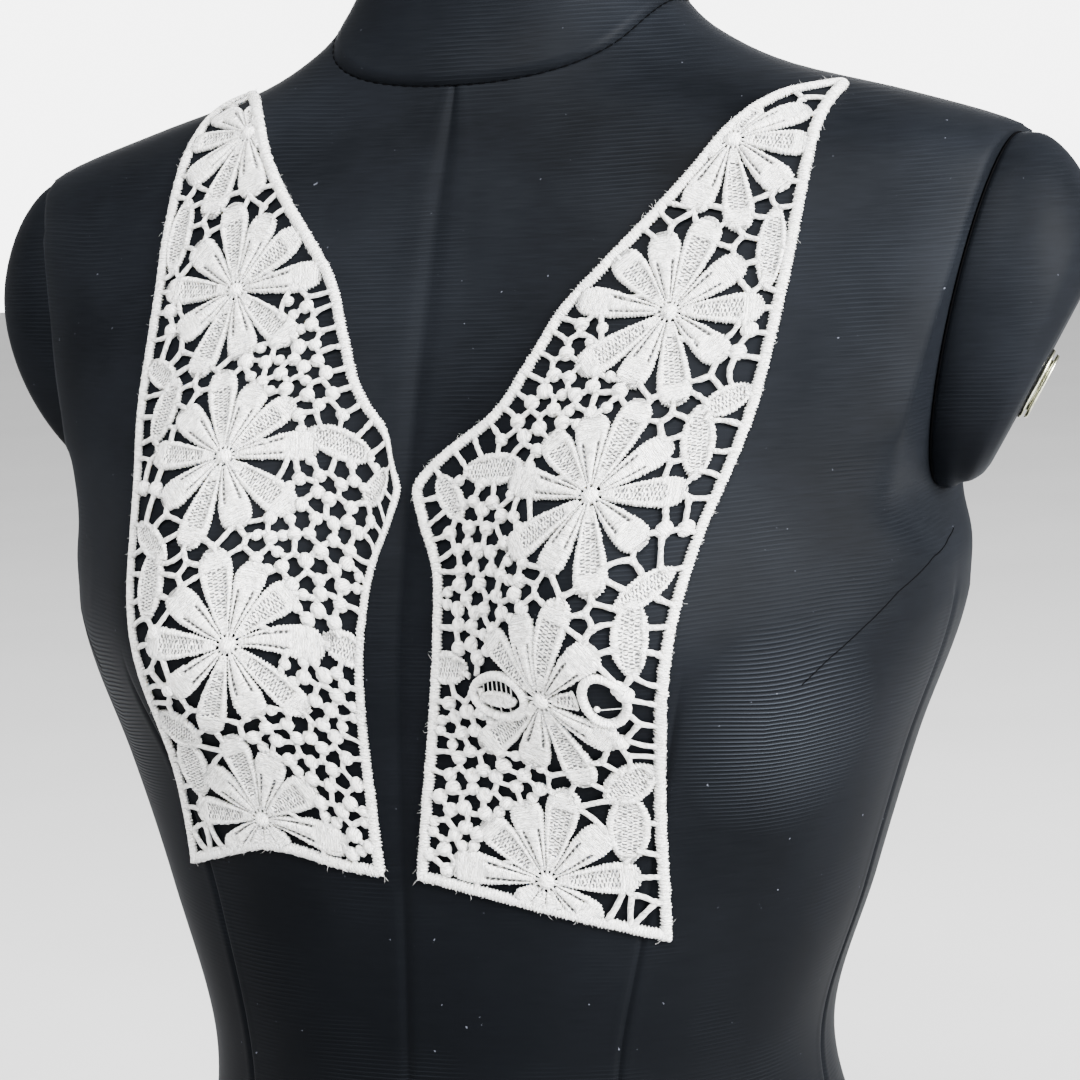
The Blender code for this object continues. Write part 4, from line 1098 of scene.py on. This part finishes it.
def eyePetal(pile, middle, direction):
    looks = eyeLooks
    closedBand(pile, middle, direction, *looks["ring"])
    low = rotatedTo([(0, looks["ribAcross"])], middle, direction)[0]
    stitchedPad(pile, low, direction, looks["rib"],
                lambda s: [looks["ribHalf"] * np.sqrt(np.clip(1 - ((s - 18.1) / 7.5) ** 2, 0, 1))] * 2,
                lambda s: 0 * s, False, lambda s: looks["ribRise"] + 0 * s)
    for k in range(looks["threads"]):
        place = looks["firstThread"] + looks["threadPitch"] * k
        near, far = rotatedTo([(place, -6.2), (place + 0.3, 0.4)], middle, direction)
        threadRung(pile, near, far, bandLooks["thread"], 1.1)
        if k % 2:
            near, far = rotatedTo([(place, 3.4), (place - 0.2, 7.6)], middle, direction)
            threadRung(pile, near, far, bandLooks["thread"], 0.9)


def ringPetal(pile, middle, direction):
    looks = ringLooks
    stitchedPad(pile, middle, direction, looks["pad"],
                lambda s: [looks["padHalf"] * np.clip((s - 3.0) / 10, 0, 1) ** 0.5] * 2,
                lambda s: smoothStep((s - 5.5) / 1.5) * smoothStep((12.2 - s) / 0.8), True,
                lambda s: looks["padRise"] + 0 * s)
    closedBand(pile, middle, direction, *looks["ring"])
    knot, far, ball = rotatedTo([looks["knot"], looks["threadEnd"], looks["ball"]], middle, direction)
    dome(pile, *knot, *looks["knotSize"], 10, 7)
    threadRung(pile, knot, far, bandLooks["thread"], 0.9)
    dome(pile, *ball, *looks["ballSize"], 18, 11)


# The left panel's odd flower: its number, the directions of its two rings in place of petals, the neighbours
# that give way to them by some degrees, and where the rings stand, as middle and radius
oddFlower = {"number": 3, "eye": 170, "ring": 1, "leftNeighbours": (133, -41), "rightNeighbours": (-144, 39),
             "giveWay": 13, "rings": [(45.8, 103.4, 9.6), (84.8, 101.8, 9.4)]}
buttonThreads = {"count": 13, "turn": 27.7, "from": 2.4, "to": 4.9, "radius": 0.50, "height": 0.95}


def flower(pile, middle, odd):
    order = sorted(petalKinds, key=lambda kind: kind[0])
    count = len(order)
    for k, (direction, length, net) in enumerate(order):
        leftGap = (order[(k + 1) % count][0] - direction) % 360
        rightGap = (direction - order[k - 1][0]) % 360
        if odd and direction in oddFlower["leftNeighbours"]:
            leftGap -= oddFlower["giveWay"]
        if odd and direction in oddFlower["rightNeighbours"]:
            rightGap -= oddFlower["giveWay"]
        if odd and direction == oddFlower["eye"]:
            eyePetal(pile, middle, direction + 8)
        elif odd and direction == oddFlower["ring"]:
            ringPetal(pile, middle, direction)
        else:
            petal(pile, middle, direction, length, net, leftGap, rightGap)
    dome(pile, *middle, bandLooks["button"], bandLooks["buttonRise"], 20, 12)
    looks = buttonThreads
    for k in range(looks["count"]):
        turn = k * looks["turn"] + workshop.normal(0, 3)
        end = looks["to"] + workshop.normal(0, 0.3)
        near, far = rotatedTo([(looks["from"], 0.0), (end, 0.0)], middle, turn)
        threadRung(pile, near, far, looks["radius"], looks["height"])


def leaf(pile, x, y, direction, length, width):
    # A leaf with a net middle, pointed at both ends
    half = length / 2
    stitchedPad(pile, (x, y), direction, (-half, half),
                lambda s: [width / 2 * 1.06 * np.clip(1 - np.abs(s / half) ** 2.1, 0, 1) ** 0.75] * 2,
                lambda s: smoothStep((0.74 - np.abs(s / half)) / 0.10), True,
                lambda s: padLooks["leafRise"] * (1 - 0.4 * np.abs(s / half) ** 3))


def borderCord(pile):
    # The cord of stitches round the whole panel
    looks = bandLooks
    path, outward = rimLine(looks["step"])
    depth = np.full(len(path), looks["borderHalf"] - 0.1)
    for _ in range(4):
        spot = path - outward * depth[:, None]
        depth = np.minimum(depth, (depth + np.maximum(rimAt(spot[:, 0], spot[:, 1]), 0.25)) / 2)
    depth[-1] = depth[0]
    middle = path - outward * depth[:, None]
    for _ in range(3):
        middle[1:-1] = (middle[:-2] + 2 * middle[1:-1] + middle[2:]) / 4
        middle[0] = middle[-1] = (middle[-2] + 2 * middle[0] + middle[1]) / 4
    halves = limitedHalves(middle, np.maximum(depth, 0.8) + 0.1)
    for half in halves:
        half[-1] = half[0]
    satinBand(pile, middle, *halves, looks["borderRise"], looks["borderJag"])


# Net of bars and beads between the motifs
netLooks = {"bar": 1.00, "barHeight": 0.90, "barThick": 0.88, "bead": 2.70, "midBead": 2.15, "beadRise": 2.5,
            "knot": 1.35, "knotMost": 1.4, "knotRise": 1.65, "step": 1.3, "buried": 2.2}


def cellEdges():
    # Lines halfway between neighbouring gaps, as pairs of points, and the points where they meet
    path, outward = rimLine(12.0)
    sites = np.vstack([gapMiddles, path[:-1] + outward[:-1] * 32])
    found = delaunay_2d_cdt([Vector(p) for p in sites], [], [], 0, 1e-6, True)
    flat = np.array([tuple(p) for p in found[0]])
    triangles = np.array(found[2])
    a, b, c = (flat[triangles[:, k]] for k in range(3))
    d = 2 * (a[:, 0] * (b[:, 1] - c[:, 1]) + b[:, 0] * (c[:, 1] - a[:, 1]) + c[:, 0] * (a[:, 1] - b[:, 1]))
    a2, b2, c2 = ((p ** 2).sum(axis=1) for p in (a, b, c))
    centreX = (a2 * (b[:, 1] - c[:, 1]) + b2 * (c[:, 1] - a[:, 1]) + c2 * (a[:, 1] - b[:, 1])) / d
    centreY = (a2 * (c[:, 0] - b[:, 0]) + b2 * (a[:, 0] - c[:, 0]) + c2 * (b[:, 0] - a[:, 0])) / d
    centres = np.column_stack([centreX, centreY])
    owners = {}
    for k, triangle in enumerate(triangles.tolist()):
        for i in range(3):
            edge = tuple(sorted((triangle[i], triangle[(i + 1) % 3])))
            owners.setdefault(edge, []).append(k)
    pairs = [pair for pair in owners.values() if len(pair) == 2]
    return centres, pairs


def netBar(pile, start, end):
    # A twisted bar, a little bowed, that runs under the motifs at its ends
    length = float(np.hypot(*(end - start)))
    count = max(int(length / netLooks["step"]), 3) + 3
    share = np.concatenate([[0], np.linspace(0.02, 0.98, count - 2), [1]])
    along = (end - start) / length
    bow = np.sin(share * math.pi) * workshop.normal(0, 0.06) * length
    path = start + share[:, None] * (end - start) + bow[:, None] * np.array([-along[1], along[0]])
    size = netLooks["bar"] * (1 + workshop.normal(0, 0.10, count)) * (1 + 0.25 * np.abs(2 * share - 1) ** 3)
    size[[0, -1]] = 0
    flat = np.column_stack([path, np.full(count, netLooks["barHeight"])])
    heights = roundSection(np.minimum(size, netLooks["barThick"]), 6)[1]
    sweep(pile, flat, (-along[1], along[0], 0), roundSection(size, 6)[0], heights)


def netCover(x, y, rings):
    # Distance inside the nearest motif or ring
    cover = coverAt(x, y)
    for ringX, ringY, radius in rings:
        cover = np.maximum(cover, radius - np.hypot(x - ringX, y - ringY))
    return cover


def laceNet(pile, rings):
    centres, pairs = cellEdges()
    inside = rimAt(centres[:, 0], centres[:, 1])
    motif = netCover(centres[:, 0], centres[:, 1], rings)
    bars = 0
    beads = []
    for first, second in pairs:
        start, end = centres[first], centres[second]
        length = float(np.hypot(*(end - start)))
        if max(inside[first], inside[second]) < 0.5 or length < 0.8 or length > 60:
            continue
        share = np.linspace(0, 1, max(int(length / 0.35), 4))
        way = start + share[:, None] * (end - start)
        rim = rimAt(way[:, 0], way[:, 1])
        cover = netCover(way[:, 0], way[:, 1], rings)
        free = (rim > 1.2) & (cover < netLooks["buried"])
        edges = np.flatnonzero(np.diff(np.concatenate([[0], free.astype(int), [0]])))
        for low, high in zip(edges[::2], edges[1::2] - 1):
            open_ = (rim[low:high + 1] > panelSizes["border"]) & (cover[low:high + 1] < 0.4)
            if (share[high] - share[low]) * length < 1.0 or not open_.any():
                continue
            netBar(pile, way[low], way[high])
            bars += 1
        spot = (start + end) / 2
        if length > 5.0 and inBeadGround(spot[0], spot[1]) and netCover(*spot, rings) < -0.5:
            if rimAt(*spot) > 4.5:
                beads.append((*spot, netLooks["midBead"]))
    for (x, y), rim, cover in zip(centres, inside, motif):
        if rim < 3.2 or cover > 0.8:
            continue
        beaded = inBeadGround(x, y) and cover < -0.4
        size, vary = (netLooks["bead"], 0.06) if beaded else (netLooks["knot"], 0.10)
        beads.append((x, y, size * (1 + workshop.normal(0, vary))))
    kept = []
    for x, y, radius in sorted(beads, key=lambda bead: -bead[2]):
        if all(math.hypot(x - other[0], y - other[1]) > 0.85 * (radius + other[2]) for other in kept):
            kept.append((x, y, radius))
    for x, y, radius in kept:
        if radius > netLooks["knotMost"]:
            dome(pile, x, y, radius, netLooks["beadRise"] * radius / netLooks["bead"], 12, 7)
        else:
            dome(pile, x, y, radius, netLooks["knotRise"], 8, 5)
    print("net made:", bars, "bars,", len(kept), "beads and knots")


fibreLooks = {"count": 170, "radius": 0.045, "shortest": 0.6, "longest": 2.2}


def looseFibres(pile):
    # Fine loose ends that stand out from the border
    path, outward = rimLine(0.8)
    for _ in range(fibreLooks["count"]):
        k = int(workshop.integers(len(path)))
        longer = (fibreLooks["longest"] - fibreLooks["shortest"]) * workshop.random() ** 2.5
        length = fibreLooks["shortest"] + longer
        share = np.linspace(0, 1, 6)[:, None]
        out = outward[k]
        sideways = np.array([-out[1], out[0]])
        curl = sideways * workshop.normal(0, 0.6) * share - sideways * workshop.normal(0, 0.7) * share ** 2
        flat = path[k] - out * 0.3 + (out * share + curl) * length
        rise = 0.5 + workshop.random() * 0.9 + (share[:, 0] ** 1.5) * workshop.normal(0.3, 0.5)
        line = np.column_stack([flat, np.clip(rise, 0.15, 3.0)])
        along = np.gradient(line, axis=0)
        along /= np.linalg.norm(along, axis=1)[:, None]
        side = np.cross((0.0, 0.0, 1.0), along)
        side /= np.linalg.norm(side, axis=1)[:, None]
        size = np.array([1, 1, 1, 0.9, 0.7, 0.3]) * fibreLooks["radius"]
        sweep(pile, line, side, *roundSection(size, 3), np.cross(along, side))


# How a panel lies on the form: lengths over it, in metres
laySizes = {"leanIn": 0.085, "leanFrom": 50.0, "lift": 19.0, "liftFade": 0.0014, "guideY": 0.030,
            "guideZ": 0.475, "guideRadius": 0.075, "guideLow": 0.140, "guideHigh": 0.680, "guideAcross": 0.095,
            "chest": 0.430, "patternZero": 0.100, "clearance": 0.00045}


def guideHit(x, travel):
    # Where a ray of the guide meets the form, at this distance from the middle
    sizes = laySizes
    x, travel = np.broadcast_arrays(np.asarray(x, float), np.asarray(travel, float))
    angle = np.clip(travel - sizes["guideZ"], 0, None) / sizes["guideRadius"]
    start = np.stack([x, np.full(x.shape, sizes["guideY"]), np.minimum(travel, sizes["guideZ"])], -1)
    ray = np.stack([np.zeros(x.shape), -np.cos(angle), np.sin(angle)], -1)
    near = np.zeros(x.shape)
    far = np.full(x.shape, 0.30)
    for _ in range(30):
        half = (near + far) / 2
        within = insideForm(start + ray * half[..., None])
        near = np.where(within, half, near)
        far = np.where(within, far, half)
    return start + ray * near[..., None]


travels = np.linspace(laySizes["guideLow"], laySizes["guideHigh"], 541)
meridian = guideHit(laySizes["guideAcross"], travels)
meridianRun = np.concatenate([[0], np.cumsum(np.linalg.norm(np.diff(meridian, axis=0), axis=1))])
runs = np.linspace(0, meridianRun[-1], 271)
runTravels = np.interp(runs, meridianRun, travels)
acrossSteps = np.linspace(0, 0.176, 177)
crossings = guideHit(acrossSteps[None, :], runTravels[:, None])
crossSteps = np.linalg.norm(np.diff(crossings, axis=1), axis=2)
spans = np.concatenate([np.zeros((len(runs), 1)), np.cumsum(crossSteps, axis=1)], axis=1)
chestRow = int(np.searchsorted(runTravels, laySizes["chest"]))
pivotColumn = int(np.searchsorted(acrossSteps, laySizes["guideAcross"]))
spans[chestRow:] += (spans[chestRow, pivotColumn] - spans[chestRow:, pivotColumn])[:, None]


def acrossOf(length, along):
    place = np.clip(along / runs[-1] * (len(runs) - 1), 0, len(runs) - 1.001)
    row = place.astype(int)
    share = place - row
    out = np.empty(length.shape)
    for k in np.unique(row):
        at = row == k
        low = np.interp(length[at], spans[k], acrossSteps)
        high = np.interp(length[at], spans[k + 1], acrossSteps)
        out[at] = low * (1 - share[at]) + high * share[at]
    return out


class LaidPanel:
    # Looks up where a flat point of a panel comes to lie, and which way is out
    step = 1.6

    def __init__(self, side):
        self.side = side
        self.xs = np.arange(-4, 143, self.step)
        self.ys = np.arange(0, 363, self.step)
        across, up = np.meshgrid(self.xs, self.ys)
        if side < 0:
            lift = laySizes["lift"] * smoothStep(across / 60) * (1 - laySizes["liftFade"] * (up - 31))
            across = across - laySizes["leanIn"] * (up - laySizes["leanFrom"]) * smoothStep(across / 25)
            up = up + lift
        length = across / 1000
        along = up / 1000 + laySizes["patternZero"]
        self.place = guideHit(acrossOf(length, along), np.interp(along, runs, runTravels))
        over = np.gradient(self.place, axis=1)
        rise = np.gradient(self.place, axis=0)
        self.normal = np.cross(over, rise)
        self.normal /= np.linalg.norm(self.normal, axis=-1, keepdims=True) + 1e-12

    def lay(self, points):
        place, normal = readGrid(self.xs, self.ys, self.step, points[:, 0], points[:, 1],
                                 self.place, self.normal)
        normal /= np.linalg.norm(normal, axis=1)[:, None]
        place = place + normal * (points[:, 2:3] / 1000 + laySizes["clearance"])
        place[:, 0] *= self.side
        return place


def trimToBorder(pile):
    # What would stand out past the border is tucked under it
    for places in pile.places:
        out = np.flatnonzero(rimAt(places[:, 0], places[:, 1]) < 1.3)
        if not len(out):
            continue
        x, y = places[out, 0], places[out, 1]
        for _ in range(6):
            slopeX, slopeY = ((rimAt(x + dx, y + dy) - rimAt(x - dx, y - dy)) / 0.6
                              for dx, dy in ((0.3, 0), (0, 0.3)))
            push = np.clip(1.35 - rimAt(x, y), 0, None) / (np.hypot(slopeX, slopeY) + 1e-6)
            x = x + slopeX * push
            y = y + slopeY * push
        places[out] = np.column_stack([x, y, np.minimum(places[out, 2], 1.2)])


# Motifs and border in one cloth, the net and its beads in another, and loose fibres
def laceMotifs(side):
    pile = Pile()
    for k, place in enumerate(flowerPlaces):
        flower(pile, place, side > 0 and k == oddFlower["number"])
    for x, y, direction, length, width in leafPlaces:
        leaf(pile, x, y, direction, length, width)
    for x, y in ballPlaces:
        dome(pile, x, y, panelSizes["ball"], bandLooks["ballRise"], 18, 11)
    trimToBorder(pile)
    borderCord(pile)
    return pile


fibres = Pile()
looseFibres(fibres)


def layPiece(pile, panel, name, material):
    mesh = pile.mesh(name, panel.lay)
    if panel.side < 0:
        mesh.flip_normals()
    obj = newObject(name, mesh, material)
    return obj


# Each panel laid on the form as its motifs, its net and its loose fibres, in place of the CAD panel
for side, word in ((1, "left"), (-1, "right")):
    panel = LaidPanel(side)
    motifs = laceMotifs(side)
    net = Pile()
    laceNet(net, oddFlower["rings"] if side > 0 else [])
    print("panel", word, "stitched:", motifs.faces(), "faces of motifs,", net.faces(), "of net")
    lace = layPiece(motifs, panel, "lace_" + word, satinStitch)
    bars = layPiece(net, panel, "lace_net_" + word, twistedThread)
    fuzz = layPiece(fibres, panel, "loose_fibres_" + word, satinStitch)
    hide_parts("lace_panel_" + word)
print("lace laid on the form")

# Plain pale floor and soft studio light
studio = {"floorSize": 8.0, "front": 0.85, "wall": 6.0, "wallWay": (-0.407, 0.914, 0.0),
          "wallEdge": (0.92, 0.975), "aim": (0, 0, 0.42), "key": 205.0, "keySize": 1.2,
          "keyPlace": (0.15, -1.55, 2.20), "side": 520.0, "sideSize": 1.4, "sidePlace": (2.3, -0.55, 1.15)}


def makeFloor():
    bm = bmesh.new()
    bmesh.ops.create_grid(bm, x_segments=1, y_segments=1, size=studio["floorSize"])
    mesh = bpy.data.meshes.new("floor")
    bm.to_mesh(mesh)
    bm.free()
    mesh.materials.append(plainFinish("floorPaint", (0.60, 0.60, 0.60), (0.64, 0.64, 0.64), 0.85, 3.0, 0.0))
    floor = bpy.data.objects.new("floor", mesh)
    bpy.context.scene.collection.objects.link(floor)


def areaLight(word):
    name = word + "Light"
    place = Vector(studio[word + "Place"])
    lamp = bpy.data.lights.new(name, "AREA")
    lamp.shape = "SQUARE"
    lamp.size = studio[word + "Size"]
    lamp.energy = studio[word]
    holder = bpy.data.objects.new(name, lamp)
    holder.location = place
    holder.rotation_euler = (Vector(studio["aim"]) - place).to_track_quat("-Z", "Y").to_euler()
    bpy.context.scene.collection.objects.link(holder)


def lightStudio():
    # White light all round, with a bright wall of it behind the form
    world = bpy.data.worlds.new("studioWorld")
    world.use_nodes = True
    tree = world.node_tree
    way = tree.nodes.new("ShaderNodeTexCoord").outputs["Generated"]
    facing = tree.nodes.new("ShaderNodeVectorMath")
    facing.operation = "DOT_PRODUCT"
    facing.inputs[1].default_value = studio["wallWay"]
    tree.links.new(way, facing.inputs[0])
    wall = tree.nodes.new("ShaderNodeMapRange")
    wall.interpolation_type = "SMOOTHSTEP"
    levels = (*studio["wallEdge"], studio["front"], studio["wall"])
    for name, value in zip(("From Min", "From Max", "To Min", "To Max"), levels):
        wall.inputs[name].default_value = value
    tree.links.new(facing.outputs["Value"], wall.inputs["Value"])
    tree.links.new(wall.outputs[0], tree.nodes["Background"].inputs[1])
    tree.nodes["Background"].inputs[0].default_value = (1, 1, 1, 1)
    bpy.context.scene.world = world
    areaLight("key")
    areaLight("side")


makeFloor()
lightStudio()
print("studio lit")
